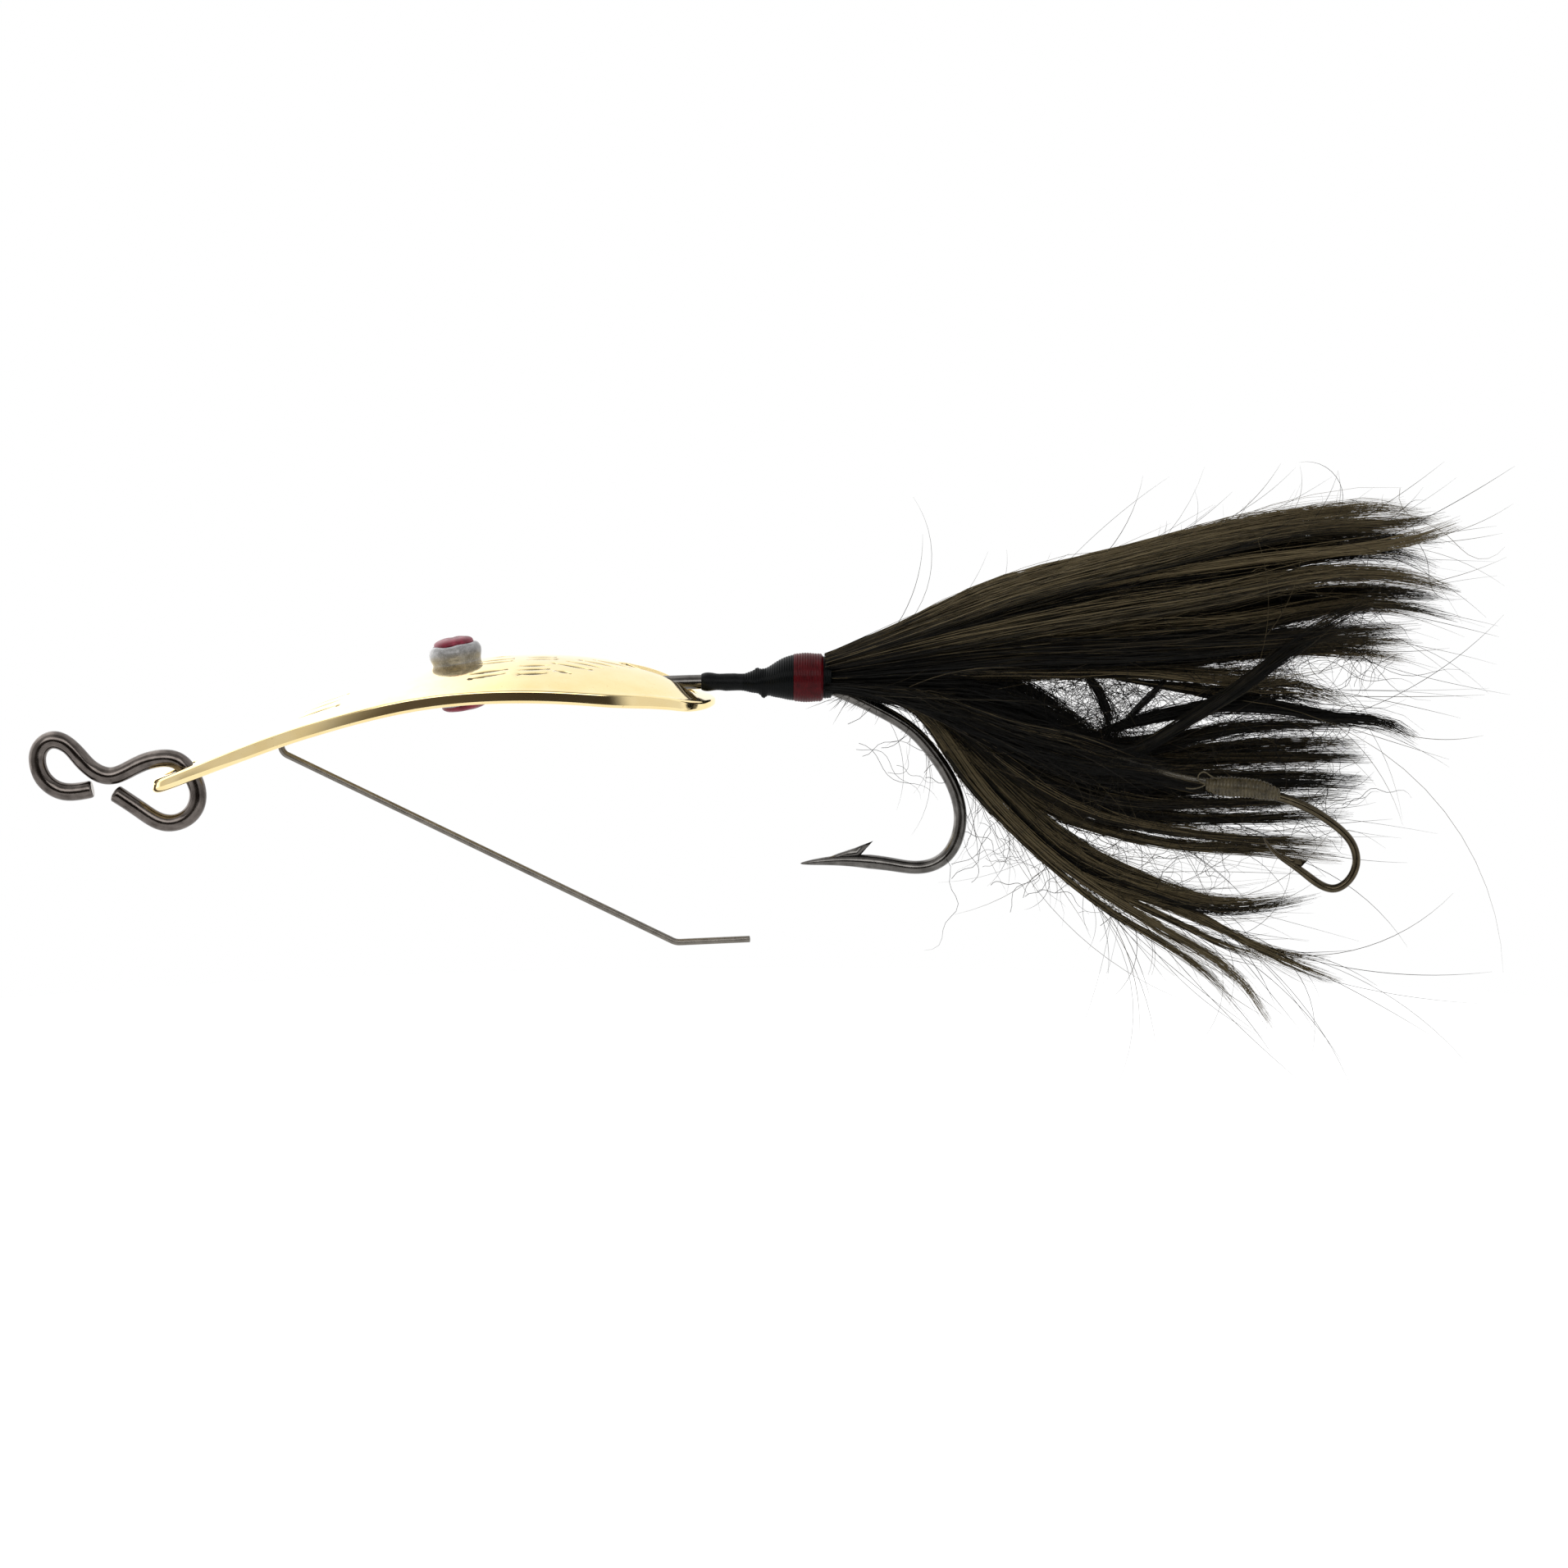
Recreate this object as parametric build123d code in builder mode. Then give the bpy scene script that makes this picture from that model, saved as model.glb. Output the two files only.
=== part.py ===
"""Spoon lure: dished blade, snap link, riveted eye studs, fixed hook, weed guard, hair, trailing hook.

Millimetres. +X runs from the line tie to the tail, +Z is the convex side of the blade, and Y = 0 is the
plane of the main hook. The origin is the middle of the snap link's closed eye.
"""

import os
from math import acos, atan2, cos, degrees, hypot, radians, sin

from build123d import *

# ---- blade ----
SHEET = 1.4  # sheet thickness
HALF_BLANK = 14.0  # half width of the dished blank before it is trimmed to the outline
# station x, height of the crown's top, cross curve radius, slope of the crown in degrees
BLADE_STATIONS = [
    (7.5, -1.98, 300.0, 22.0),
    (9.8, -1.05, 220.0, 22.5),
    (12.3, 0.00, 120.0, 23.5),
    (14.8, 1.13, 70.0, 25.0),
    (17.3, 2.35, 44.0, 26.5),
    (20.5, 4.00, 33.0, 27.0),
    (24.1, 5.78, 30.0, 24.5),
    (28.5, 7.58, 30.0, 20.5),
    (33.0, 9.08, 30.0, 16.5),
    (38.0, 10.32, 29.0, 11.5),
    (43.0, 11.02, 28.0, 5.5),
    (48.0, 11.27, 27.0, 0.0),
    (52.5, 11.08, 26.0, -5.0),
    (56.5, 10.55, 25.0, -10.5),
    (59.7, 9.82, 24.0, -18.0),
    (61.9, 8.90, 25.0, -29.0),
    (63.5, 7.90, 36.0, -32.0),
    (64.9, 7.22, 90.0, -17.0),
    (66.0, 7.07, 240.0, 0.0),
    (67.2, 7.15, 400.0, 5.0),
]
# outline of one side: x, half width
OUTLINE = [
    (9.6, 1.95),
    (10.8, 2.75),
    (12.6, 3.35),
    (15.0, 4.05),
    (18.0, 5.25),
    (21.5, 6.85),
    (25.5, 8.45),
    (30.0, 9.60),
    (36.0, 10.50),
    (43.0, 11.05),
    (49.0, 11.20),
    (54.5, 10.80),
    (59.0, 9.55),
    (62.3, 7.45),
    (64.8, 4.60),
    (65.9, 2.10),
]
NOSE_X = 8.85
TAIL_X = 66.2
EDGE_ROUND = 0.3
NOSE_HOLE_X = 12.3
NOSE_HOLE_Z = -0.75  # middle of the sheet at the hole
NOSE_HOLE_TILT = 23.5
NOSE_HOLE_R = 1.95
SLOT_START = 56.4
SLOT_END = 64.3
SLOT_HALF = 0.95

# ---- snap link ----
SNAP_WIRE_R = 0.9
SNAP_PATH = [
    (2.87, -2.35),
    (1.36, -2.61),
    (-0.22, -2.58),
    (-1.80, -1.66),
    (-2.66, 0.17),
    (-2.37, 1.85),
    (-1.19, 2.66),
    (0.22, 2.27),
    (2.25, 0.17),
    (4.48, -1.01),
    (7.25, 0.00),
    (9.59, 0.76),
    (11.51, 0.55),
    (12.60, -0.45),
    (13.40, -1.95),
    (13.52, -3.45),
    (12.91, -4.80),
    (11.73, -5.64),
    (10.14, -5.81),
    (7.75, -4.54),
    (5.28, -2.86),
]

# ---- eye studs and rivet ----
STUD_X = 40.0
STUD_Z = 10.66  # top of the sheet on the rivet's axis
STUD_TILT = 9.5
PIN_R = 0.9
RING_BASE_R = 2.55
RING_R = 2.72
RING_TOP_R = 2.25
RING_H = 1.85
RING_H_BELOW = 1.35
PUPIL_R = 2.05
PUPIL_H = 0.65
HOOK_EYE_THICK = 1.2
GUARD_R = 0.34

# ---- main hook ----
HOOK_R = 0.73
HOOK_EYE_R = 2.3
SHANK_PATH = [
    (41.4, 8.75),
    (47.0, 8.45),
    (54.0, 8.32),
    (60.0, 8.45),
    (64.7, 8.60),
    (69.0, 8.58),
    (73.5, 8.52),
    (77.0, 8.22),
    (81.2, 6.54),
    (83.8, 5.20),
    (86.3, 3.50),
    (88.1, 1.50),
    (89.7, -0.84),
    (90.7, -3.10),
    (91.05, -5.20),
    (90.75, -7.30),
    (89.9, -8.95),
    (88.35, -10.10),
    (86.6, -10.42),
    (84.1, -10.12),
    (81.4, -9.80),
]
HOOK_TIP = (74.8, -10.03)
HOOK_BARB = [(78.4, -9.62), (82.15, -7.75), (80.7, -9.3), (80.3, -9.9), (78.6, -9.95)]

# ---- weed guard ----
GUARD_BEND = (23.2, 2.1)  # middle of the root bend, on the spring hinge
GUARD_BEND_R = 1.1
GUARD_ARM_SLOPE = 26.15  # of the long arm, falling
GUARD_KNEE = (62.1, -18.17)
GUARD_TIP = (69.6, -17.83)
GUARD_KNEE_R = 1.6

# ---- shank sleeve and thread wraps ----
SLEEVE_X = (64.75, 69.2)
SLEEVE_R = 0.87
HEAD_SECTIONS = [
    (69.2, 8.55, 0.95),
    (70.2, 8.60, 1.28),
    (71.5, 8.60, 1.50),
    (72.8, 8.90, 2.02),
    (74.1, 9.05, 2.34),
]
BAND_X = (74.1, 77.05)
BAND_Z = 9.05
BAND_R = 2.42
COLLAR_X = 77.95
COLLAR_R = 2.1

# ---- hair: each station is x, y, z, half width, half height ----
ROOT_STATIONS = [
    (77.95, 0.0, 9.1, 2.0, 2.0),
    (81.5, 0.0, 9.7, 2.9, 2.7),
    (85.4, 0.0, 10.1, 4.4, 4.2),
    (89.4, 0.0, 10.3, 5.6, 5.7),
]
CROWN_LOCK = [
    (88.6, 0.0, 13.2, 3.7, 1.8),
    (101.6, 0.0, 17.4, 5.0, 2.2),
    (111.5, 0.0, 20.6, 5.6, 2.4),
    (123.0, 0.0, 23.0, 5.8, 2.3),
    (136.5, 0.3, 23.9, 4.6, 1.6),
    (142.8, 0.5, 24.6, 1.2, 0.5),
]
UPPER_LOCK = [
    (88.6, 0.0, 10.1, 4.4, 0.9),
    (101.6, 0.0, 13.2, 5.6, 1.6),
    (111.5, 0.0, 15.5, 6.2, 2.1),
    (123.0, 0.0, 17.4, 6.4, 2.4),
    (134.7, 0.0, 18.1, 5.0, 2.0),
    (141.3, 0.0, 17.2, 1.3, 0.6),
]
SECOND_LOCK = [
    (88.6, -1.2, 8.1, 3.0, 0.7),
    (101.6, -0.6, 10.0, 4.6, 1.0),
    (111.6, -0.5, 11.3, 5.2, 1.3),
    (123.2, -0.5, 12.1, 5.2, 1.5),
    (133.5, -0.5, 12.3, 3.8, 1.1),
    (138.6, -0.5, 12.4, 1.0, 0.4),
]
DROOP_LOCK = [
    (88.6, -0.5, 6.55, 1.2, 0.5),
    (101.7, -0.8, 5.7, 1.7, 0.85),
    (111.7, -1.0, 5.2, 2.0, 1.0),
    (123.3, -1.2, 4.6, 1.8, 0.9),
    (133.4, -1.2, 3.0, 1.2, 0.6),
    (139.2, -1.2, 1.4, 0.5, 0.25),
]
LOWER_LOCK = [
    (88.6, 3.3, 7.2, 1.1, 0.55),
    (101.8, 2.8, 2.0, 3.0, 1.3),
    (111.8, 2.7, 0.6, 3.6, 1.7),
    (123.4, 2.5, -0.3, 3.5, 1.6),
    (130.0, 2.4, -0.7, 2.4, 1.0),
    (133.6, 2.4, -0.9, 0.6, 0.3),
]
FRINGE_LOCK = [
    (88.6, 2.7, 5.7, 0.85, 0.4),
    (97.6, 2.9, -0.4, 1.6, 0.8),
    (108.5, 2.6, -4.1, 2.8, 1.4),
    (121.0, 2.4, -6.8, 2.6, 1.4),
    (128.5, 2.4, -7.9, 1.4, 0.8),
    (131.3, 2.4, -8.1, 0.5, 0.3),
]
BELLY_LOCK = [
    (88.6, 0.9, 5.0, 0.7, 0.4),
    (90.6, 0.9, 1.8, 1.1, 0.7),
    (92.7, 1.0, -2.2, 1.2, 0.8),
    (95.2, 1.0, -5.1, 1.3, 0.8),
    (97.9, 1.0, -7.2, 1.4, 0.9),
    (101.9, 0.9, -9.0, 1.4, 0.9),
    (106.1, 0.8, -11.2, 1.3, 0.8),
    (112.5, 0.7, -13.1, 1.3, 0.7),
    (119.0, 0.7, -14.2, 1.1, 0.6),
    (123.2, 0.7, -13.9, 0.8, 0.45),
    (128.3, 0.7, -13.3, 0.3, 0.2),
]
LONG_WISP = [
    (88.6, -1.3, 5.2, 0.6, 0.35),
    (90.9, -1.7, 1.4, 0.7, 0.45),
    (93.6, -1.8, -3.0, 0.7, 0.45),
    (97.5, -1.7, -7.8, 0.7, 0.45),
    (103.0, -1.4, -12.0, 0.7, 0.45),
    (109.0, -1.0, -15.0, 0.6, 0.4),
    (114.8, -0.8, -18.5, 0.5, 0.35),
    (118.2, -0.8, -20.7, 0.4, 0.3),
    (120.9, -0.8, -24.0, 0.35, 0.25),
    (124.3, -0.8, -28.9, 0.2, 0.15),
]
SHORT_WISP = [
    (99.9, 0.9, -8.4, 0.7, 0.4),
    (102.4, 0.9, -10.9, 0.8, 0.5),
    (105.8, 0.9, -13.3, 0.8, 0.5),
    (110.0, 0.9, -15.2, 0.7, 0.4),
    (114.7, 0.8, -16.6, 0.6, 0.4),
    (121.2, 0.8, -18.8, 0.5, 0.35),
    (126.3, 0.8, -20.7, 0.4, 0.25),
    (130.2, 0.8, -22.6, 0.2, 0.15),
]

# ---- trailing hook ----
TRAIL_Y = -3.0
LEADER_R = 0.27
LEADER_HINGE = (109.9, 0.24)
LEADER_ROOT_PATH = [
    (77.1, -1.55, 8.30),
    (80.5, -2.0, 7.9),
    (85.0, -2.5, 7.2),
    (89.4, -2.9, 6.2),
    (98.0, -3.0, 3.75),
    (105.0, -3.0, 1.8),
    (109.75, -3.0, 0.29),
]
LEADER_END_PATH = [(110.05, 0.19), (112.4, -0.55), (114.8, -1.02), (117.2, -1.22), (121.8, -1.65)]
TRAIL_R = 0.48
TRAIL_PATH = [
    (116.4, -2.02),
    (119.4, -2.24),
    (123.0, -2.72),
    (126.8, -4.27),
    (129.0, -5.78),
    (130.6, -7.54),
    (131.05, -9.39),
    (130.35, -11.20),
    (128.87, -12.12),
    (127.36, -11.68),
    (126.0, -10.70),
]
TRAIL_MID = (122.9, -8.50)  # where the point turns up
TRAIL_TIP = (121.55, -6.87)
TRAIL_BARB = [(123.3, -8.75), (125.84, -9.3), (125.0, -10.2)]
SNELL_STATIONS = [
    (115.7, -1.48, 0.62),
    (117.0, -1.62, 0.98),
    (119.4, -1.78, 1.05),
    (121.8, -2.12, 0.98),
    (123.2, -2.50, 0.62),
]

os.makedirs("parts", exist_ok=True)

STUD_AXIS = Vector(-sin(radians(STUD_TILT)), 0, cos(radians(STUD_TILT)))
STUD_ALONG = (cos(radians(STUD_TILT)), 0, sin(radians(STUD_TILT)))


def stud_plane(depth):
    """Plane square to the rivet, depth below the top of the sheet."""
    origin = Vector(STUD_X, 0, STUD_Z) - STUD_AXIS * depth
    return Plane(origin=origin, x_dir=STUD_ALONG, z_dir=STUD_AXIS)


def start_of(path):
    """Plane square to the start of a path."""
    return Plane(origin=path @ 0, z_dir=path % 0)


def sections(stations):
    """Plane, half width and half height of each station, square to the line through the stations."""
    found = []
    for i, (x, y, z, half_width, half_height) in enumerate(stations):
        before = Vector(*stations[max(i - 1, 0)][:3])
        after = Vector(*stations[min(i + 1, len(stations) - 1)][:3])
        along = after - before
        side = Vector(0, 1, 0) - along * (along.Y / along.dot(along))
        found.append((Plane(origin=(x, y, z), x_dir=side, z_dir=along), half_width, half_height))
    return found


# ---- blade ----
with BuildPart() as blade:
    for x, top, radius, slope in BLADE_STATIONS:
        drop = HALF_BLANK**2 / (2 * radius)
        under = SHEET / cos(radians(slope))
        with BuildSketch(Plane.YZ.offset(x)):
            with BuildLine():
                upper = ThreePointArc((-HALF_BLANK, top - drop), (0, top), (HALF_BLANK, top - drop))
                lower = ThreePointArc(
                    (HALF_BLANK, top - drop - under), (0, top - under), (-HALF_BLANK, top - drop - under)
                )
                Line(upper @ 1, lower @ 0)
                Line(lower @ 1, upper @ 0)
            make_face()
    loft()
    with BuildSketch(Plane.XY.offset(-12)):
        with BuildLine():
            near = [(x, -half) for x, half in OUTLINE]
            far = [(x, half) for x, half in reversed(OUTLINE)]
            Spline(*[(NOSE_X, 0), *near, (TAIL_X, 0), *far], periodic=True)
        make_face()
    extrude(amount=30, mode=Mode.INTERSECT)
    rim = blade.edges().sort_by(SortBy.LENGTH)[-2:]
    fillet(rim, radius=EDGE_ROUND)
    hole_axis = (-sin(radians(NOSE_HOLE_TILT)), 0, cos(radians(NOSE_HOLE_TILT)))
    with Locations(Plane(origin=(NOSE_HOLE_X, 0, NOSE_HOLE_Z), z_dir=hole_axis)):
        Cylinder(NOSE_HOLE_R, 4, mode=Mode.SUBTRACT)
    with Locations(stud_plane(SHEET / 2)):
        Cylinder(PIN_R, 4, mode=Mode.SUBTRACT)
    with BuildSketch(Plane.XY.offset(4)):
        with Locations(((SLOT_START + SLOT_END) / 2, 0)):
            SlotOverall(SLOT_END - SLOT_START, 2 * SLOT_HALF)
    extrude(amount=10, mode=Mode.SUBTRACT)
blade.part.label = "blade"
export_step(blade.part, "parts/blade.step")

# ---- snap link ----
with BuildPart() as snap_link:
    with BuildLine(Plane.XZ) as snap_line:
        Spline(*SNAP_PATH)
    with BuildSketch(start_of(snap_line.line)):
        Circle(SNAP_WIRE_R)
    sweep()
snap_link.part.label = "snap_link"
export_step(snap_link.part, "parts/snap_link.step")

# ---- rivet and eye studs ----
EYE_TOP = SHEET + 0.04
GUARD_DEPTH = EYE_TOP + HOOK_EYE_THICK + 0.02 + GUARD_R
BELOW = GUARD_DEPTH + GUARD_R + 0.02

with BuildPart() as rivet_pin:
    with BuildSketch(stud_plane(BELOW + 0.8)):
        Circle(PIN_R)
    extrude(amount=BELOW + 0.8 + 0.8)
rivet_pin.part.label = "rivet_pin"
export_step(rivet_pin.part, "parts/rivet_pin.step")

with BuildPart() as top_eye_ring:
    with BuildSketch(stud_plane(0.3)):
        Circle(RING_BASE_R)
    with BuildSketch(stud_plane(-RING_H * 0.42)):
        Circle(RING_R)
    with BuildSketch(stud_plane(-RING_H)):
        Circle(RING_TOP_R)
    loft()
    with Locations(stud_plane(-RING_H)):
        Cylinder(PUPIL_R, 0.4, align=(Align.CENTER, Align.CENTER, Align.MAX), mode=Mode.SUBTRACT)
    add(blade.part, mode=Mode.SUBTRACT)
    add(rivet_pin.part, mode=Mode.SUBTRACT)
top_eye_ring.part.label = "top_eye_ring"
export_step(top_eye_ring.part, "parts/top_eye_ring.step")

DOME_R = (PUPIL_R**2 + PUPIL_H**2) / (2 * PUPIL_H)

with BuildPart() as top_eye_pupil:
    with Locations(stud_plane(-RING_H)):
        Cylinder(PUPIL_R, 0.4, align=(Align.CENTER, Align.CENTER, Align.MAX))
    with Locations(stud_plane(-RING_H)):
        Cylinder(PUPIL_R, PUPIL_H, align=(Align.CENTER, Align.CENTER, Align.MIN))
    with BuildPart(mode=Mode.PRIVATE) as dome:
        with Locations(stud_plane(DOME_R - PUPIL_H - RING_H)):
            Sphere(DOME_R)
    add(dome.part, mode=Mode.INTERSECT)
top_eye_pupil.part.label = "top_eye_pupil"
export_step(top_eye_pupil.part, "parts/top_eye_pupil.step")

with BuildPart() as bottom_eye_pupil:
    with Locations(stud_plane(BELOW + RING_H_BELOW)):
        Cylinder(PUPIL_R, 0.4, align=(Align.CENTER, Align.CENTER, Align.MIN))
    with Locations(stud_plane(BELOW + RING_H_BELOW)):
        Cylinder(PUPIL_R, PUPIL_H, align=(Align.CENTER, Align.CENTER, Align.MAX))
    with BuildPart(mode=Mode.PRIVATE) as low_dome:
        with Locations(stud_plane(BELOW + RING_H_BELOW + PUPIL_H - DOME_R)):
            Sphere(DOME_R)
    add(low_dome.part, mode=Mode.INTERSECT)
bottom_eye_pupil.part.label = "bottom_eye_pupil"
export_step(bottom_eye_pupil.part, "parts/bottom_eye_pupil.step")

# ---- main hook ----
with BuildPart() as main_hook:
    with BuildLine(Plane.XZ) as shank_line:
        Spline(*SHANK_PATH)
    with BuildSketch(start_of(shank_line.line)):
        Circle(HOOK_R)
    sweep()
    hook_end = Vector(SHANK_PATH[-1][0], 0, SHANK_PATH[-1][1])
    hook_tip = Vector(HOOK_TIP[0], 0, HOOK_TIP[1])
    with Locations(Plane(origin=hook_end, z_dir=hook_tip - hook_end)):
        Cone(HOOK_R, 0.05, (hook_tip - hook_end).length, align=(Align.CENTER, Align.CENTER, Align.MIN))
    with Locations(hook_end):
        Sphere(HOOK_R)
    with BuildSketch(Plane.XZ):
        Polygon(*HOOK_BARB, align=None)
    extrude(amount=0.22, both=True)
    with BuildSketch(stud_plane(EYE_TOP + HOOK_EYE_THICK)):
        Circle(HOOK_EYE_R)
    extrude(amount=HOOK_EYE_THICK)
    with Locations(stud_plane(EYE_TOP)):
        Cylinder(PIN_R + 0.05, 6, mode=Mode.SUBTRACT)
    add(blade.part, mode=Mode.SUBTRACT)
main_hook.part.label = "main_hook"
export_step(main_hook.part, "parts/main_hook.step")

# ---- weed guard ----
LOOP_R = PIN_R + 0.05 + GUARD_R
loop_middle = Vector(STUD_X, 0, STUD_Z) - STUD_AXIS * GUARD_DEPTH
run_start = loop_middle - Vector(*STUD_ALONG) * LOOP_R
rise = run_start.Z - GUARD_BEND[1]
reach = run_start.X - GUARD_BEND[0]
upper_turn = degrees(atan2(rise, reach) + acos(GUARD_BEND_R / hypot(rise, reach)))
lower_turn = 270 - GUARD_ARM_SLOPE

with BuildPart() as guard_anchor:
    with BuildLine(Plane.XZ) as run_line:
        turn = CenterArc(GUARD_BEND, GUARD_BEND_R, 180, upper_turn - 180)
        Line(turn @ 1, (run_start.X, run_start.Z))
    with BuildSketch(start_of(run_line.line)):
        Circle(GUARD_R)
    sweep()
    with Locations(stud_plane(GUARD_DEPTH)):
        Torus(LOOP_R, GUARD_R)
    add(main_hook.part, mode=Mode.SUBTRACT)
guard_anchor.part.label = "guard_anchor"
export_step(guard_anchor.part, "parts/guard_anchor.step")

with BuildPart() as guard_arm:
    with BuildLine(Plane.XZ) as arm_line:
        root = CenterArc(GUARD_BEND, GUARD_BEND_R, 180.6, lower_turn - 180.6)
        FilletPolyline(root @ 1, GUARD_KNEE, GUARD_TIP, radius=GUARD_KNEE_R)
    with BuildSketch(start_of(arm_line.line)):
        Circle(GUARD_R)
    sweep()
guard_arm.part.label = "guard_arm"
export_step(guard_arm.part, "parts/guard_arm.step")

# ---- lower eye stud's ring, pressed over the guard wire ----
with BuildPart() as bottom_eye_ring:
    with BuildSketch(stud_plane(BELOW)):
        Circle(RING_BASE_R)
    with BuildSketch(stud_plane(BELOW + RING_H_BELOW * 0.5)):
        Circle(RING_R)
    with BuildSketch(stud_plane(BELOW + RING_H_BELOW)):
        Circle(RING_TOP_R)
    loft()
    with Locations(stud_plane(BELOW + RING_H_BELOW)):
        Cylinder(PUPIL_R, 0.4, align=(Align.CENTER, Align.CENTER, Align.MIN), mode=Mode.SUBTRACT)
    add(rivet_pin.part, mode=Mode.SUBTRACT)
    add(guard_anchor.part, mode=Mode.SUBTRACT)
    add(main_hook.part, mode=Mode.SUBTRACT)
bottom_eye_ring.part.label = "bottom_eye_ring"
export_step(bottom_eye_ring.part, "parts/bottom_eye_ring.step")

# ---- leader and trailing hook ----
with BuildPart() as leader_root:
    with BuildLine() as leader_line:
        Spline(*LEADER_ROOT_PATH)
    with BuildSketch(start_of(leader_line.line)):
        Circle(LEADER_R)
    sweep()
leader_root.part.label = "leader_root"
export_step(leader_root.part, "parts/leader_root.step")

TRAIL_PLANE = Plane.XZ.offset(-TRAIL_Y)

with BuildPart() as leader_end:
    with BuildLine(TRAIL_PLANE) as end_line:
        Spline(*LEADER_END_PATH)
    with BuildSketch(start_of(end_line.line)):
        Circle(LEADER_R)
    sweep()
leader_end.part.label = "leader_end"
export_step(leader_end.part, "parts/leader_end.step")

with BuildPart() as trailer_hook:
    with BuildLine(TRAIL_PLANE) as trail_line:
        Spline(*TRAIL_PATH)
    with BuildSketch(start_of(trail_line.line)):
        Circle(TRAIL_R)
    sweep()
    trail_end = Vector(TRAIL_PATH[-1][0], TRAIL_Y, TRAIL_PATH[-1][1])
    trail_mid = Vector(TRAIL_MID[0], TRAIL_Y, TRAIL_MID[1])
    trail_tip = Vector(TRAIL_TIP[0], TRAIL_Y, TRAIL_TIP[1])
    with Locations(trail_end):
        Sphere(TRAIL_R)
    with Locations(Plane(origin=trail_end, z_dir=trail_mid - trail_end)):
        Cone(TRAIL_R, 0.26, (trail_mid - trail_end).length, align=(Align.CENTER, Align.CENTER, Align.MIN))
    with Locations(trail_mid):
        Sphere(0.26)
    with Locations(Plane(origin=trail_mid, z_dir=trail_tip - trail_mid)):
        Cone(0.26, 0.04, (trail_tip - trail_mid).length, align=(Align.CENTER, Align.CENTER, Align.MIN))
    with BuildSketch(TRAIL_PLANE):
        Polygon(*TRAIL_BARB, align=None)
    extrude(amount=0.15, both=True)
trailer_hook.part.label = "trailer_hook"
export_step(trailer_hook.part, "parts/trailer_hook.step")

with BuildPart() as trailer_snell:
    for x, z, radius in SNELL_STATIONS:
        with BuildSketch(Plane.YZ.offset(x)):
            with Locations((TRAIL_Y, z)):
                Circle(radius)
    loft()
    add(trailer_hook.part, mode=Mode.SUBTRACT)
    add(leader_end.part, mode=Mode.SUBTRACT)
trailer_snell.part.label = "trailer_snell"
export_step(trailer_snell.part, "parts/trailer_snell.step")

# ---- sleeve and wraps on the shank ----
with BuildPart() as shank_sleeve:
    with BuildSketch(Plane.YZ.offset(SLEEVE_X[0])):
        with Locations((0, 8.6)):
            Circle(SLEEVE_R)
    with BuildSketch(Plane.YZ.offset(SLEEVE_X[1])):
        with Locations((0, 8.57)):
            Circle(SLEEVE_R)
    loft()
    add(main_hook.part, mode=Mode.SUBTRACT)
    add(blade.part, mode=Mode.SUBTRACT)
shank_sleeve.part.label = "shank_sleeve"
export_step(shank_sleeve.part, "parts/shank_sleeve.step")

with BuildPart() as head_wrap:
    for x, z, radius in HEAD_SECTIONS:
        with BuildSketch(Plane.YZ.offset(x)):
            with Locations((0, z)):
                Circle(radius)
    loft()
    add(main_hook.part, mode=Mode.SUBTRACT)
head_wrap.part.label = "head_wrap"
export_step(head_wrap.part, "parts/head_wrap.step")

with BuildPart() as red_band:
    with BuildSketch(Plane.YZ.offset(BAND_X[0])):
        with Locations((0, BAND_Z)):
            Circle(BAND_R)
    extrude(amount=BAND_X[1] - BAND_X[0])
    fillet(red_band.edges(), radius=0.35)
    add(main_hook.part, mode=Mode.SUBTRACT)
red_band.part.label = "red_band"
export_step(red_band.part, "parts/red_band.step")

with BuildPart() as collar_wrap:
    with BuildSketch(Plane.YZ.offset(BAND_X[1])):
        with Locations((0, BAND_Z)):
            Circle(COLLAR_R)
    extrude(amount=COLLAR_X - BAND_X[1])
    add(main_hook.part, mode=Mode.SUBTRACT)
    add(leader_root.part, mode=Mode.SUBTRACT)
collar_wrap.part.label = "collar_wrap"
export_step(collar_wrap.part, "parts/collar_wrap.step")

# ---- hair ----
with BuildPart() as crown_lock:
    for plane, half_width, half_height in sections(CROWN_LOCK):
        with BuildSketch(plane):
            Ellipse(half_width, half_height)
    loft()
crown_lock.part.label = "crown_lock"
export_step(crown_lock.part, "parts/crown_lock.step")

with BuildPart() as upper_lock:
    for plane, half_width, half_height in sections(UPPER_LOCK):
        with BuildSketch(plane):
            Ellipse(half_width, half_height)
    loft()
upper_lock.part.label = "upper_lock"
export_step(upper_lock.part, "parts/upper_lock.step")

with BuildPart() as second_lock:
    for plane, half_width, half_height in sections(SECOND_LOCK):
        with BuildSketch(plane):
            Ellipse(half_width, half_height)
    loft()
second_lock.part.label = "second_lock"
export_step(second_lock.part, "parts/second_lock.step")

with BuildPart() as droop_lock:
    for plane, half_width, half_height in sections(DROOP_LOCK):
        with BuildSketch(plane):
            Ellipse(half_width, half_height)
    loft()
droop_lock.part.label = "droop_lock"
export_step(droop_lock.part, "parts/droop_lock.step")

with BuildPart() as lower_lock:
    for plane, half_width, half_height in sections(LOWER_LOCK):
        with BuildSketch(plane):
            Ellipse(half_width, half_height)
    loft()
lower_lock.part.label = "lower_lock"
export_step(lower_lock.part, "parts/lower_lock.step")

with BuildPart() as fringe_lock:
    for plane, half_width, half_height in sections(FRINGE_LOCK):
        with BuildSketch(plane):
            Ellipse(half_width, half_height)
    loft()
fringe_lock.part.label = "fringe_lock"
export_step(fringe_lock.part, "parts/fringe_lock.step")

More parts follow.
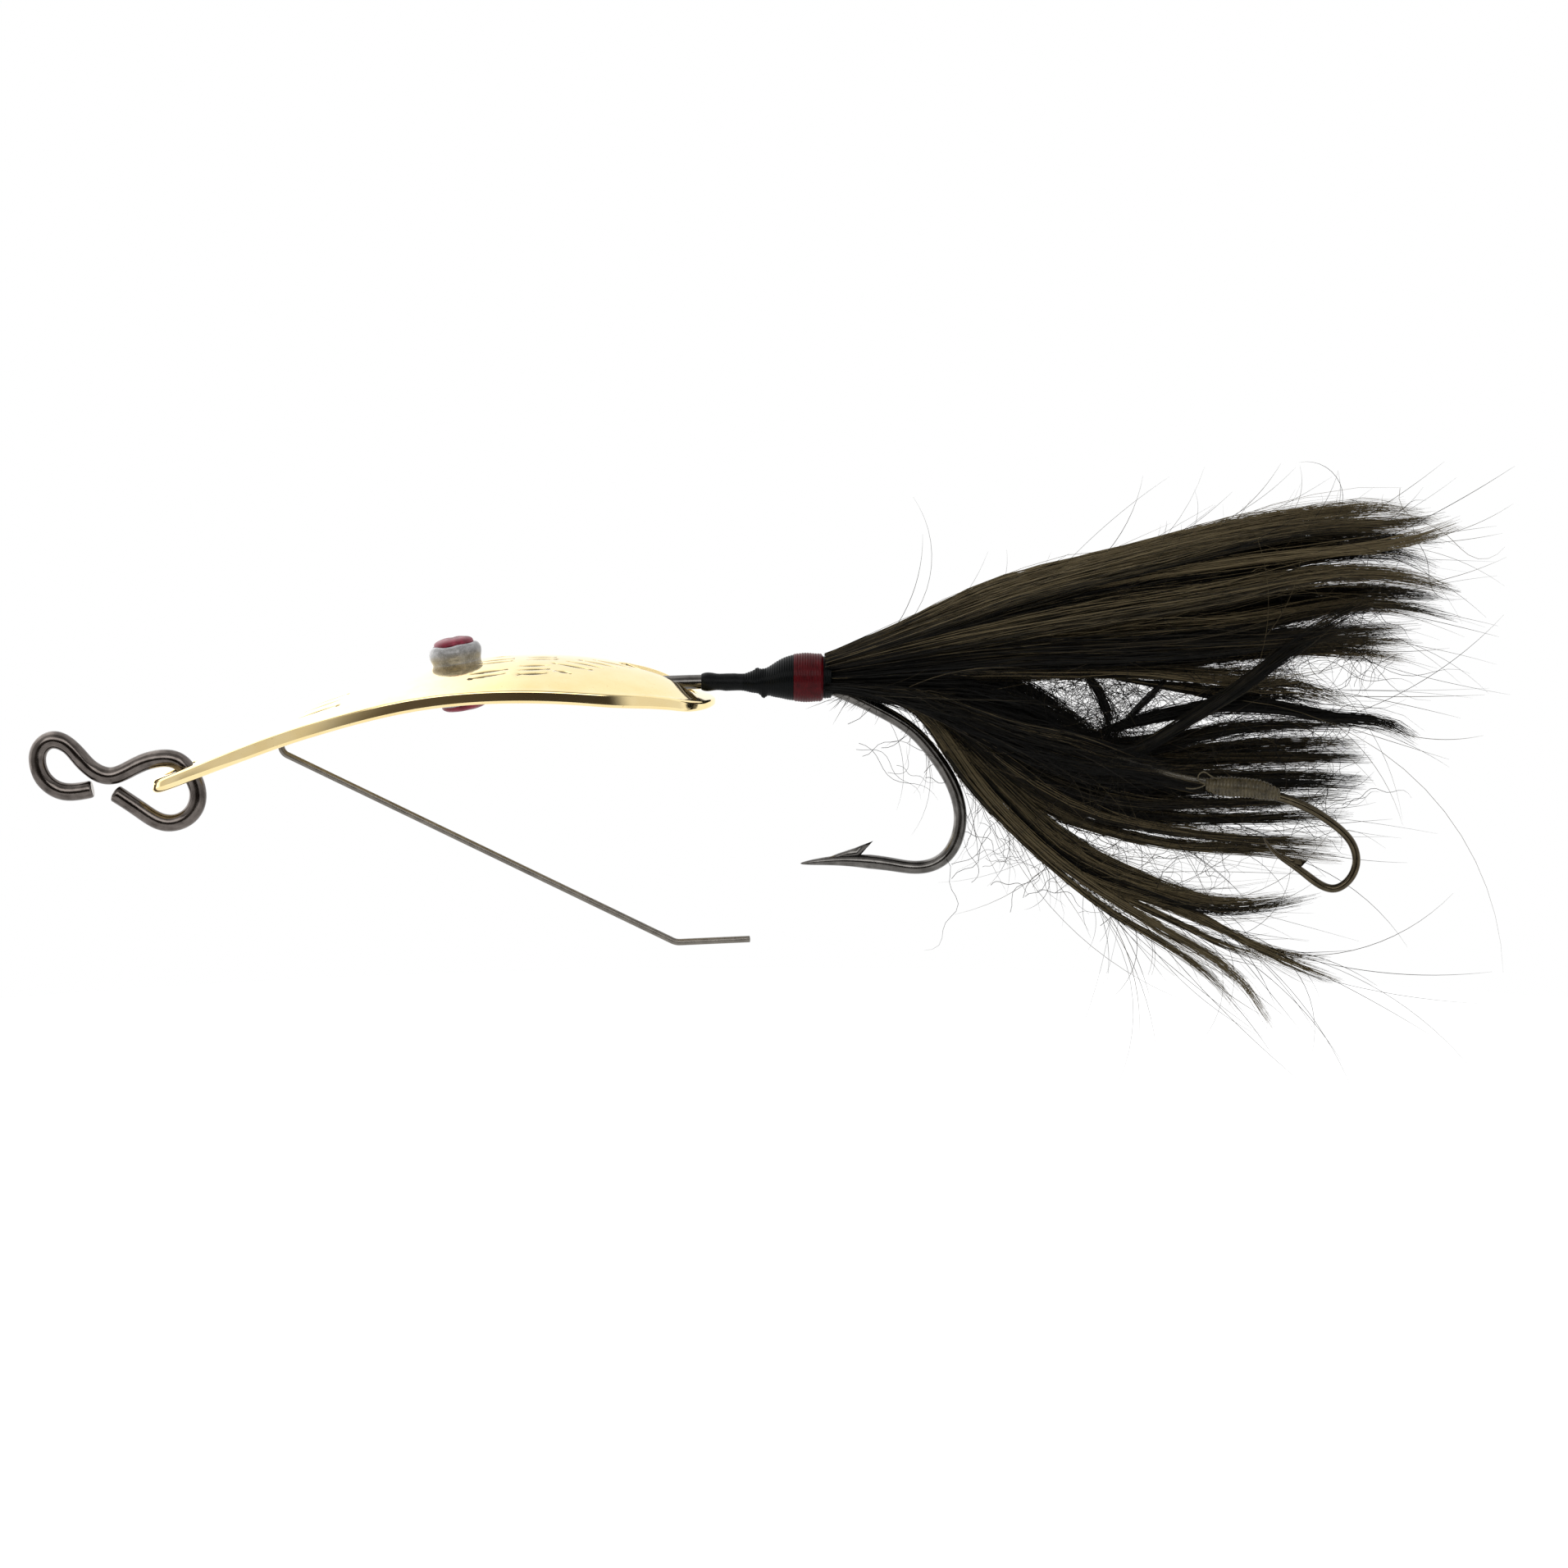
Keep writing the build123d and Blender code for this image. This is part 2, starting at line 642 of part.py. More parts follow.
with BuildPart() as belly_lock:
    for plane, half_width, half_height in sections(BELLY_LOCK):
        with BuildSketch(plane):
            Ellipse(half_width, half_height)
    loft()
belly_lock.part.label = "belly_lock"
export_step(belly_lock.part, "parts/belly_lock.step")

with BuildPart() as long_wisp:
    for plane, half_width, half_height in sections(LONG_WISP):
        with BuildSketch(plane):
            Ellipse(half_width, half_height)
    loft()
long_wisp.part.label = "long_wisp"
export_step(long_wisp.part, "parts/long_wisp.step")

with BuildPart() as short_wisp:
    for plane, half_width, half_height in sections(SHORT_WISP):
        with BuildSketch(plane):
            Ellipse(half_width, half_height)
    loft()
    add(belly_lock.part, mode=Mode.SUBTRACT)
short_wisp.part.label = "short_wisp"
export_step(short_wisp.part, "parts/short_wisp.step")

with BuildPart() as hair_root:
    for x, y, z, half_width, half_height in ROOT_STATIONS:
        with BuildSketch(Plane.YZ.offset(x)):
            with Locations((y, z)):
                Ellipse(half_width, half_height)
    loft()
    add(main_hook.part, mode=Mode.SUBTRACT)
    add(leader_root.part, mode=Mode.SUBTRACT)
    for lock in (crown_lock, upper_lock, second_lock, droop_lock):
        add(lock.part, mode=Mode.SUBTRACT)
    for lock in (lower_lock, fringe_lock, belly_lock, long_wisp):
        add(lock.part, mode=Mode.SUBTRACT)
hair_root.part.label = "hair_root"
export_step(hair_root.part, "parts/hair_root.step")
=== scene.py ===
"""Spoon lure: the visual model. Lengths are millimetres in the tables and metres in the meshes."""

from math import acos, atan2, cos, hypot, pi, radians, sin

import bpy
import numpy as np
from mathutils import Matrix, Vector
from mathutils.geometry import delaunay_2d_cdt


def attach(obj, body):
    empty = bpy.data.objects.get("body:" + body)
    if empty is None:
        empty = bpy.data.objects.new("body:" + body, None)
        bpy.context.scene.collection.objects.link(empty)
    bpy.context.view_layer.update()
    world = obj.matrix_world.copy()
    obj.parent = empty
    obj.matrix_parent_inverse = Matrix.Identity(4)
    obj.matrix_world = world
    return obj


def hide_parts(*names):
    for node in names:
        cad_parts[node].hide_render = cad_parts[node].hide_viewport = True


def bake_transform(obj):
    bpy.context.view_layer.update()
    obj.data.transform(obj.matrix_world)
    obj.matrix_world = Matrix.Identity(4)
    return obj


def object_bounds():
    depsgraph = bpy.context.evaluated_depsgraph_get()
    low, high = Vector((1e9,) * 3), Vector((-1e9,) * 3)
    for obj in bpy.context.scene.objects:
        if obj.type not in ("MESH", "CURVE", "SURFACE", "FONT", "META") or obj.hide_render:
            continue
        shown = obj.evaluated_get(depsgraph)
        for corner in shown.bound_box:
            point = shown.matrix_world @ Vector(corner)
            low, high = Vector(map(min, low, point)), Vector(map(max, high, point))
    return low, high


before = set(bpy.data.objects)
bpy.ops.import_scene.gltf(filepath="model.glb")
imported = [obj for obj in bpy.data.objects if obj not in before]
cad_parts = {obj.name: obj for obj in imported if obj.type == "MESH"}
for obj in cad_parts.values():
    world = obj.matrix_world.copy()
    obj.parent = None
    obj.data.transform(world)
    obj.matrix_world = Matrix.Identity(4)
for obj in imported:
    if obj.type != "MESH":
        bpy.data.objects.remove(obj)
cad_low, cad_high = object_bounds()
MM = 0.001

# ---- blade: station x, height of the crown's top, cross curve radius, slope of the crown in degrees ----
SHEET = 1.4
HALF_BLANK = 14.0
BLADE_STATIONS = [
    (7.5, -1.98, 300, 22), (9.8, -1.05, 220, 22.5), (12.3, 0, 120, 23.5), (14.8, 1.13, 70, 25), (17.3, 2.35, 44, 26.5),
    (20.5, 4, 33, 27), (24.1, 5.78, 30, 24.5), (28.5, 7.58, 30, 20.5), (33, 9.08, 30, 16.5), (38, 10.32, 29, 11.5),
    (43, 11.02, 28, 5.5), (48, 11.27, 27, 0), (52.5, 11.08, 26, -5), (56.5, 10.55, 25, -10.5), (59.7, 9.82, 24, -18),
    (61.9, 8.9, 25, -29), (63.5, 7.9, 36, -32), (64.9, 7.22, 90, -17), (66, 7.07, 240, 0), (67.2, 7.15, 400, 5),
]
OUTLINE = [
    (9.6, 1.95), (10.8, 2.75), (12.6, 3.35), (15, 4.05), (18, 5.25), (21.5, 6.85), (25.5, 8.45), (30, 9.6),
    (36, 10.5), (43, 11.05), (49, 11.2), (54.5, 10.8), (59, 9.55), (62.3, 7.45), (64.8, 4.6), (65.9, 2.1),
]
NOSE_X, TAIL_X = 8.85, 66.2
EDGE_ROUND, NOSE_ROUND = 0.32, 0.58
THIN_FROM, THIN_OVER, THIN_LOSS = 58, 8, 0.42  # the lip thins towards the tail
CHAMFER = 0.12  # round the holes
NOSE_HOLE = (12.3, 1.95, 23.5)  # x, radius, tilt
SLOT = (56.4, 64.3, 0.95)  # start, end, half width

# short engraved strokes on the convex side: start x, y, end x, y, width
STROKE_DEPTH = 0.12
STROKE_WALL = 2.6  # steepness of a stroke's sides
STROKE_REACH = (3.6, 2.2)  # no stroke is longer or wider than this, from its middle
STROKE_CLEAR, RIM_CLEAR = 0.5, 0.13  # the coarse mesh keeps this far from strokes and from edges
STROKES = [
    (24.8, -5.2, 28.2, -6, 0.55), (25.2, -3.6, 28.6, -4.4, 0.5), (25.6, -2, 29, -2.8, 0.5),
    (42.8, -2.3, 45.6, -1.8, 0.5), (42.8, -3.5, 45.6, -3, 0.5), (42.2, -6.6, 45, -6.1, 0.6),
    (42.2, -7.8, 45, -7.3, 0.5), (47, -5.1, 49.2, -4.9, 0.55), (47, -6.3, 49.2, -6.1, 0.55),
    (47, -7.5, 49.2, -7.3, 0.6), (47.6, -2.4, 49.8, -2.2, 0.5), (47.6, -1.2, 49.8, -1, 0.5),
    (50.3, -4.1, 53.5, -5.2, 0.55), (51.6, -3, 54.8, -4.1, 0.5), (52.9, -1.9, 56.1, -3, 0.5),
    (54.2, -0.8, 57.4, -1.9, 0.5), (50.6, -6.5, 51.6, -6.8, 0.55), (44, 0, 45.2, 0.2, 0.5),
]

# ---- wires ----
SNAP_R = 0.9
SNAP_PATH = [
    (2.87, -2.35), (1.36, -2.61), (-0.22, -2.58), (-1.8, -1.66), (-2.66, 0.17), (-2.37, 1.85), (-1.19, 2.66),
    (0.22, 2.27), (2.25, 0.17), (4.48, -1.01), (7.25, 0), (9.59, 0.76), (11.51, 0.55), (12.6, -0.45),
    (13.4, -1.95), (13.52, -3.45), (12.91, -4.8), (11.73, -5.64), (10.14, -5.81), (7.75, -4.54), (5.28, -2.86),
]
HOOK_R = 0.73
HOOK_PATH = [
    (41.4, 8.75), (47, 8.45), (54, 8.32), (60, 8.45), (64.7, 8.6), (69, 8.58), (73.5, 8.52), (77, 8.22),
    (81.2, 6.54), (83.8, 5.2), (86.3, 3.5), (88.1, 1.5), (89.7, -0.84), (90.7, -3.1), (91.05, -5.2), (90.75, -7.3),
    (89.9, -8.95), (88.35, -10.1), (86.6, -10.42), (84.1, -10.12), (81.4, -9.8), (78.6, -9.72), (74.8, -10.03),
]
HOOK_BARB = [
    (77.3, -9.55), (78.6, -9.02), (80.4, -8.42), (82.2, -7.7), (81.45, -8.5), (80.75, -9.32), (80.3, -9.75),
    (78.2, -9.85),
]
GUARD_R = 0.34
GUARD_BEND, GUARD_BEND_R = (23.2, 2.1), 1.1
GUARD_SLOPE = 26.15
GUARD_KNEE, GUARD_TIP = (62.1, -18.17), (69.6, -17.83)

# ---- studs: heights are along the rivet, from the top of the sheet ----
STUD_X, STUD_Z, STUD_TILT = 40.0, 10.66, 9.5
HOOK_EYE_THICK = 1.2
HOOK_EYE_R, HOOK_EYE_WIDE = 1.62, 0.68  # middle of the ring, half its width
EYE_TOP = SHEET + 0.04
GUARD_DEPTH = EYE_TOP + HOOK_EYE_THICK + 0.02 + GUARD_R
BELOW = GUARD_DEPTH + GUARD_R + 0.02
PIN_R = 0.9
STUD_ALONG = Vector((cos(radians(STUD_TILT)), 0, sin(radians(STUD_TILT))))
STUD_AXIS = Vector((-sin(radians(STUD_TILT)), 0, cos(radians(STUD_TILT))))
STUD_TOP = Vector((STUD_X, 0, STUD_Z))

# ---- leader and trailing hook ----
TRAIL_Y = -3.0
LEADER_R = 0.27
LEADER_PATH = [
    (77.1, -1.55, 8.3), (80.5, -2, 7.9), (85, -2.5, 7.2), (89.4, -2.9, 6.2), (98, -3, 3.75), (105, -3, 1.8),
    (109.9, -3, 0.24), (112.4, -3, -0.55), (114.8, -3, -1.02), (117.2, -3, -1.22), (121.6, -3, -1.62),
]
TRAIL_R = 0.48
TRAIL_PATH = [
    (116.4, -2.02), (119.4, -2.24), (123, -2.72), (126.8, -4.27), (129, -5.78), (130.6, -7.54), (131.05, -9.39),
    (130.35, -11.2), (128.87, -12.12), (127.36, -11.68), (126, -10.7), (124.45, -9.6), (122.9, -8.5), (121.55, -6.87),
]
TRAIL_BARB = [(123.2, -8.55), (124.6, -8.98), (126.1, -9.25), (125.6, -9.75), (125.15, -10.15), (124.2, -9.6)]
SNELL_STATIONS = [
    (115.7, -1.48, 0.62), (117, -1.62, 0.98), (119.4, -1.78, 1.05), (121.8, -2.12, 0.98), (123.2, -2.5, 0.62),
]
SNELL_TAG = [
    (117, -3.55, -0.85), (116.2, -3.75, -0.55), (115.4, -3.7, -0.1), (114.9, -3.5, -0.55), (115.1, -3.4, -1.15),
    (115.6, -3.5, -1.35), (114.6, -3.6, -1.8), (113.7, -3.6, -1.75),
]

# ---------------------------------------------------------------- curves


def cubic(knots, values):
    """A natural cubic through values at knots, as a function of an array."""
    t, p = np.array(knots, float), np.array(values, float)
    flat = p.ndim == 1
    p = p[:, None] if flat else p
    n, h = len(t), np.diff(t)
    a, r = np.eye(n), np.zeros_like(p)
    for i in range(1, n - 1):
        a[i, i - 1 : i + 2] = h[i - 1], 2 * (h[i - 1] + h[i]), h[i]
        r[i] = 6 * ((p[i + 1] - p[i]) / h[i] - (p[i] - p[i - 1]) / h[i - 1])
    m = np.linalg.solve(a, r)

    def at(x):
        x = np.asarray(x, float)
        k = np.clip(np.searchsorted(t, x) - 1, 0, n - 2)
        left, right = (t[k + 1] - x)[..., None], (x - t[k])[..., None]
        step = h[k][..., None]
        out = (m[k] * left**3 + m[k + 1] * right**3) / (6 * step)
        out += (p[k] / step - m[k] * step / 6) * left + (p[k + 1] / step - m[k + 1] * step / 6) * right
        return out[..., 0] if flat else out

    return at


def column_cubics(stations):
    """A cubic for each column after the first, as functions of the first."""
    xs, *columns = zip(*stations)
    return [cubic(xs, column) for column in columns]


def unit(v):
    """Rows of directions, scaled to length 1."""
    return v / np.linalg.norm(v, axis=-1)[..., None]


def chord(points):
    """Running length along a row of points."""
    return np.concatenate([[0], np.cumsum(np.linalg.norm(np.diff(np.array(points, float), axis=0), axis=1))])


def spaced(line, lengths):
    """Points of a line at lengths along it, given as a function of the whole length."""
    run = chord(line)
    want = lengths(run[-1])
    return np.stack([np.interp(want, run, column) for column in line.T], 1)


def even(points, step):
    """A smooth line through points, cut into equal steps."""
    t = chord(points)
    fine = cubic(t, points)(np.linspace(0, t[-1], 40 * len(t)))
    return spaced(fine, lambda total: np.linspace(0, total, max(int(round(total / step)), 2) + 1))


def in_plane(points, y=0.0):
    """(x, z) points as (x, y, z)."""
    return [(x, y, z) for x, z in points]


def smooth(x):
    x = np.clip(x, 0, 1)
    return x * x * (3 - 2 * x)


def round_angles(sides):
    return np.arange(sides) * 2 * pi / sides


# ---------------------------------------------------------------- meshes


def mesh_object(name, verts, faces, material, uvs=None):
    """An object from millimetre points. uvs is one pair for each corner of each face, in order."""
    me = bpy.data.meshes.new(name)
    me.from_pydata([tuple(v) for v in np.array(verts, float) * MM], [], faces)
    if uvs is not None:
        me.uv_layers.new(name="UVMap").data.foreach_set("uv", np.array(uvs, np.float32).ravel())
    me.validate()
    me.polygons.foreach_set("use_smooth", [True] * len(me.polygons))
    return finished(me, material)


def finished(me, material):
    """An object in the scene from a mesh, in one material."""
    me.materials.append(material)
    ob = bpy.data.objects.new(me.name, me)
    bpy.context.scene.collection.objects.link(ob)
    return ob


def place_piece(ob, body, slot, *nodes):
    """Rides a finished piece on its body, in place of its CAD nodes."""
    if body:
        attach(ob, body)
    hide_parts(*nodes)
    return ob


def skin(rings, lengths=None, closed=False):
    """Faces and UVs that join a stack of rings, with a fan over each end or, if closed, the last row to the first."""
    rings = np.array(rings, float)
    m, k = rings.shape[:2]
    lengths = np.arange(m) if lengths is None else lengths
    verts = list(rings.reshape(-1, 3))
    faces, uvs = [], []
    for i in range(m if closed else m - 1):
        for j in range(k):
            above = (i + 1) % m * k
            a, b = i * k + j, i * k + (j + 1) % k
            faces.append((a, b, above + (j + 1) % k, above + j))
            u0, u1 = j / k, (j + 1) / k
            uvs += [(u0, lengths[i]), (u1, lengths[i]), (u1, lengths[i + 1]), (u0, lengths[i + 1])]
    for end in () if closed else (0, m - 1):
        middle = len(verts)
        verts.append(rings[end].mean(0))
        for j in range(k):
            a, b = end * k + j, end * k + (j + 1) % k
            faces.append((a, b, middle) if end else (b, a, middle))
            uvs += [(j / k, lengths[end]), ((j + 1) / k, lengths[end]), (j / k, lengths[end])]
    return verts, faces, uvs


def sweep(path, radius, sides=20, caps=(0.0, 0.0), squash=None):
    """The skin of a round wire along a path.

    caps is how far each end bulges, in radii. squash scales the second cross direction.
    """
    path = np.array(path, float)
    t = unit(np.gradient(path, axis=0))
    side = np.zeros_like(t)
    s = np.array([0.0, 1.0, 0.0])
    for i, along in enumerate(t):
        s = unit(s - along * (s @ along))
        side[i] = s
    count = len(path)
    flat = np.ones(count) if squash is None else squash
    rows = np.column_stack([path, np.broadcast_to(radius, count), t, side, np.cross(t, side), flat])
    for end, bulge in ((0, caps[0]), (-1, caps[1])):
        if bulge:
            angles = np.linspace(0, pi / 2 * 0.97, 6)[1:]
            cap = np.repeat(rows[end][None], len(angles), 0)
            outward = cap[:, 4:7] if end else -cap[:, 4:7]
            cap[:, :3] += outward * (np.sin(angles) * cap[:, 3] * bulge)[:, None]
            cap[:, 3] *= np.cos(angles)
            rows = np.vstack([rows, cap] if end else [cap[::-1], rows])
    path, radius, a, b, flat = rows[:, :3], rows[:, 3], rows[:, 7:10], rows[:, 10:13], rows[:, 13:]
    angle = round_angles(sides)
    ring = a[:, None] * np.cos(angle)[:, None] + b[:, None] * (np.sin(angle) * flat)[..., None]
    return skin(path[:, None] + ring * radius[:, None, None], chord(path))


def stud_lathe(profile, sides=72, wobble=None):
    """Rings on the rivet's axis. profile is (height, radius); wobble(angle, row) changes both."""
    origin, along, across = (np.array(v, float) for v in (STUD_TOP, STUD_AXIS, STUD_ALONG))
    third = np.cross(along, across)
    angle = round_angles(sides)
    rings = []
    for row, (height, radius) in enumerate(profile):
        dh, dr = wobble(angle, row) if wobble else (0, 0)
        h, r = np.full(sides, float(height)) + dh, np.full(sides, float(radius)) + dr
        outward = across * np.cos(angle)[:, None] + third * np.sin(angle)[:, None]
        rings.append(origin + along * h[:, None] + outward * r[:, None])
    return np.array(rings)


def along_x(stations, rows, sides, y, relief):
    """The skin of a body along x. stations are (x, z, radius), and relief(x, radius, angle) gives the real radius."""
    z_at, r_at = column_cubics(stations)
    angle = round_angles(sides)
    rings = []
    for x in np.linspace(stations[0][0], stations[-1][0], rows):
        r = relief(x, float(r_at(x)), angle)
        rings.append(np.stack([np.full(sides, x), y + r * np.cos(angle), float(z_at(x)) + r * np.sin(angle)], 1))
    return skin(rings)


def thread_turns(x, angle, pitch, depth, wander):
    """Depth of the grooves between turns of wound thread."""
    return depth * (0.5 - 0.5 * np.cos(x / pitch * 2 * pi + angle + wander)) ** 2


def joined(*parts):
    """Several (verts, faces, uvs) as one."""
    verts, faces, uvs = [], [], []
    for v, f, u in parts:
        base = len(verts)
        verts += list(v)
        faces += [tuple(i + base for i in face) for face in f]
        uvs += list(u)
    return verts, faces, uvs


def mirrored(parts):
    """The same parts with every face turned over."""
    verts, faces, uvs = parts
    out, at = [], 0
    for face in faces:
        out += uvs[at : at + len(face)][::-1]
        at += len(face)
    return verts, [f[::-1] for f in faces], out


def solid(name, parts, material, *place):
    """A piece from (verts, faces, uvs); place is its body, slot and CAD nodes. The slot is not used."""
    verts, faces, uvs = parts
    return place_piece(mesh_object(name, verts, faces, material, uvs), *place)


# ---------------------------------------------------------------- materials


def rgba(colour):
    """A colour, or one number as a grey, with its alpha."""
    return (*colour, 1) if hasattr(colour, "__len__") else (colour, colour, colour, 1)


class Tree:
    """Short ways to add nodes to a node tree."""

    def __init__(self, owner):
        owner.use_nodes = True
        self.nodes, self.links = owner.node_tree.nodes, owner.node_tree.links

    def feed(self, socket, value):
        """Links an output to a socket, or sets the socket's own value."""
        if hasattr(value, "is_output"):
            self.links.new(value, socket)
        else:
            socket.default_value = rgba(value) if socket.type == "RGBA" else value

    def node(self, kind, inputs=(), **settings):
        """A node with its settings, and inputs as a row or by name."""
        n = self.nodes.new("ShaderNode" + kind)
        for key, value in settings.items():
            setattr(n, key, value)
        for key, value in inputs.items() if isinstance(inputs, dict) else enumerate(inputs):
            self.feed(n.inputs[key], value)
        return n

    def math(self, operation, a, b):
        return self.node("Math", (a, b), operation=operation).outputs[0]

    def mix(self, fac, a, b, blend="MIX"):
        return self.node("MixRGB", (fac, a, b), blend_type=blend).outputs[0]

    def scaled(self, value, low, high, start=0.0, end=1.0, **settings):
        n = self.node("MapRange", {"From Min": start, "From Max": end, "To Min": low, "To Max": high}, **settings)
        self.feed(n.inputs["Value"], value)
        return n.outputs[0]


class Paint(Tree):
    """A Principled material with short ways to add nodes."""

    def __init__(self, name, **sockets):
        self.mat = bpy.data.materials.new(name)
        super().__init__(self.mat)
        self.shader = self.nodes["Principled BSDF"]
        for key, value in sockets.items():
            self.shader.inputs[key.replace("_", " ")].default_value = value

    def place(self, uv=False, scale=(1, 1, 1)):
        """Object coordinates in millimetres, or the UV map, stretched by scale."""
        coords = self.node("TexCoord").outputs["UV" if uv else "Object"]
        base = 1 if uv else 1 / MM
        return self.node("Mapping", {"Vector": coords, "Scale": [s * base for s in scale]}).outputs[0]

    def noise(self, vector, scale, detail=3, rough=0.55):
        inputs = {"Vector": vector, "Scale": scale, "Detail": detail, "Roughness": rough}
        return self.node("TexNoise", inputs).outputs["Fac"]

    def ramp(self, value, *stops):
        n = self.node("ValToRGB", [value])
        e = n.color_ramp.elements
        while len(e) < len(stops):
            e.new(0.5)
        for element, (position, colour) in zip(e, stops):
            element.position = position
            element.color = rgba(colour)
        return n.outputs["Color"]

    def attribute(self, name):
        return self.node("Attribute", attribute_name=name).outputs["Fac"]

    def done(self, colour, rough, height=None, distance=0.0, strength=1.0):
        """The material with its colour, roughness and bump; distance is millimetres of real height."""
        self.feed(self.shader.inputs["Base Color"], colour)
        self.feed(self.shader.inputs["Roughness"], rough)
        if height:
            inputs = {"Height": height, "Distance": distance * MM, "Strength": strength}
            self.feed(self.shader.inputs["Normal"], self.node("Bump", inputs).outputs[0])
        return self.mat


# ---------------------------------------------------------------- finishes


def gold_plate():
    p = Paint("gold_plate", Metallic=1.0)
    where = p.place()
    patch = p.noise(where, 0.35, 4)
    gold = p.ramp(patch, (0.25, (0.90, 0.70, 0.34)), (0.55, (0.93, 0.75, 0.40)), (0.8, (0.95, 0.80, 0.47)))
    gold = p.mix(p.ramp(p.noise(where, 3.2, 2), (0.70, 0.0), (0.76, 0.55)), gold, (0.42, 0.30, 0.12))
    mark = p.attribute("mark")
    colour = p.mix(mark, gold, (0.045, 0.034, 0.012))
    fine = p.scaled(p.noise(where, 9.0, 5, 0.65), 0.045, 0.12, 0.3, 0.75)
    rough = p.math("ADD", fine, p.math("MULTIPLY", mark, 0.4))
    scratches = p.noise(p.place(scale=(0.5, 9.0, 4.0)), 3.0, 6, 0.7)
    return p.done(colour, rough, p.mix(0.35, p.noise(where, 1.1, 2), scratches), 0.004, 0.55)


def wire_steel(name, low, high, rough, uv_lines=26.0):
    """Drawn steel wire: fine lines along the wire, dull patches, small pits."""
    p = Paint(name, Metallic=1.0)
    lines = p.noise(p.place(uv=True, scale=(uv_lines, 0.35, 1)), 1.0, 5, 0.7)
    where = p.place()
    tone = p.mix(0.45, p.noise(where, 0.9, 4, 0.6), lines)
    height = p.mix(0.5, lines, p.noise(where, 9.0, 4, 0.6))
    return p.done(p.ramp(tone, (0.28, low), (0.72, high)), p.scaled(tone, *rough, 0.3, 0.7), height, 0.012, 0.6)


def cloudy(name, place, noise, stops, rough, bump, grain=None, share=0.0, **sockets):
    """A finish whose colour and height follow one noise, with a share of grain; its roughness follows the grain."""
    p = Paint(name, **sockets)
    where = p.place(**place)
    tone = p.noise(where, *noise)
    grain = p.noise(where, *grain) if grain else tone
    tone = p.mix(share, tone, grain) if share else tone
    return p.done(p.ramp(tone, *stops), p.scaled(grain, *rough), tone, *bump)


def thread(name, dark, light, coat, rough):
    """Lacquered thread. The turns are in the mesh; this adds the fibre and the lacquer."""
    p = Paint(name, Coat_Weight=coat, Coat_Roughness=0.1, Specular_IOR_Level=0.04)
    fibre = p.noise(p.place(scale=(6, 1.2, 1.2)), 3.0, 4, 0.7)
    blot = p.noise(p.place(), 1.4, 4)
    colour = p.ramp(p.mix(0.5, fibre, blot), (0.3, dark), (0.75, light))
    return p.done(colour, p.scaled(fibre, *rough, 0.3, 0.7), p.mix(0.4, blot, fibre), 0.03, 0.8)


def hair():
    """Each strand has a tone from 0, black, to 1, tan, with painted light in it: lighter on the top of each rope, paler
    towards the tip and darker near the root, the last two partly the hair's own colour and partly painted light and
    shade.
    """
    p = Paint("olive_hair", Specular_IOR_Level=0.15)
    tone = p.attribute("tone")
    cloud = p.noise(p.place(scale=(0.25, 1, 1)), 1.5, 4)
    value = p.math("ADD", tone, p.scaled(cloud, -0.12, 0.12, 0.3, 0.7))
    black, dark, olive, tan = (
        (0.0012, 0.0012, 0.0008), (0.0055, 0.0047, 0.0028), (0.031, 0.0245, 0.0128), (0.125, 0.098, 0.052)
    )
    colour = p.ramp(value, (0.0, black), (0.35, dark), (0.65, olive), (1.0, tan))
    return p.done(colour, p.scaled(cloud, 0.42, 0.6, 0.3, 0.7))


GOLD = gold_plate()
SNAP_STEEL = wire_steel("dark_steel_wire", (0.028, 0.023, 0.020), (0.20, 0.175, 0.160), (0.09, 0.20))
CUT_STEEL = wire_steel("cut_steel", (0.42, 0.39, 0.36), (0.66, 0.63, 0.6), (0.35, 0.55))
GUARD_STEEL = wire_steel("guard_steel", (0.10, 0.09, 0.08), (0.26, 0.24, 0.21), (0.3, 0.5), 10)
HOOK_STEEL = wire_steel("hook_steel", (0.028, 0.026, 0.024), (0.19, 0.181, 0.170), (0.09, 0.20))
TRAIL_STEEL = wire_steel("trailer_steel", (0.014, 0.011, 0.007), (0.115, 0.094, 0.060), (0.10, 0.24))
BRASS = cloudy(
    "rivet_brass", {}, (4.0, 4), [(0.3, (0.52, 0.36, 0.14)), (0.7, (0.74, 0.55, 0.26))], (0.2, 0.42), (0.02,),
    Metallic=1.0,
)
PEARL = cloudy(
    "pearl_paint", {}, (0.8, 5, 0.65),
    [(0.3, (0.09, 0.09, 0.088)), (0.45, (0.19, 0.19, 0.19)), (0.6, (0.32, 0.322, 0.33)), (0.8, (0.50, 0.505, 0.52))],
    (0.22, 0.5), (0.07, 0.8), (7.0, 3), 0.3, Metallic=0.25, Coat_Weight=0.3, Coat_Roughness=0.2,
)
RED = cloudy(
    "red_paint", {}, (1.2, 5, 0.6),
    [(0.3, (0.09, 0.0015, 0.010)), (0.55, (0.18, 0.005, 0.024)), (0.8, (0.30, 0.018, 0.052))],
    (0.35, 0.6), (0.06, 0.8), (6.0, 3), Coat_Weight=0.15, Coat_Roughness=0.25, Specular_IOR_Level=0.3,
)
TUBE = cloudy(
    "black_tube", {"scale": (1, 2.2, 2.2)}, (1.6, 5, 0.6),
    [(0.3, (0.001, 0.0014, 0.0016)), (0.8, (0.006, 0.0066, 0.007))], (0.3, 0.5), (0.04, 0.8), Specular_IOR_Level=0.08,
)
BLACK_THREAD = thread("black_thread", (0.0006, 0.0011, 0.0013), (0.0018, 0.0026, 0.0028), 0.07, (0.35, 0.55))
RED_THREAD = thread("red_thread", (0.022, 0.0003, 0.0012), (0.09, 0.0015, 0.004), 0.14, (0.3, 0.5))
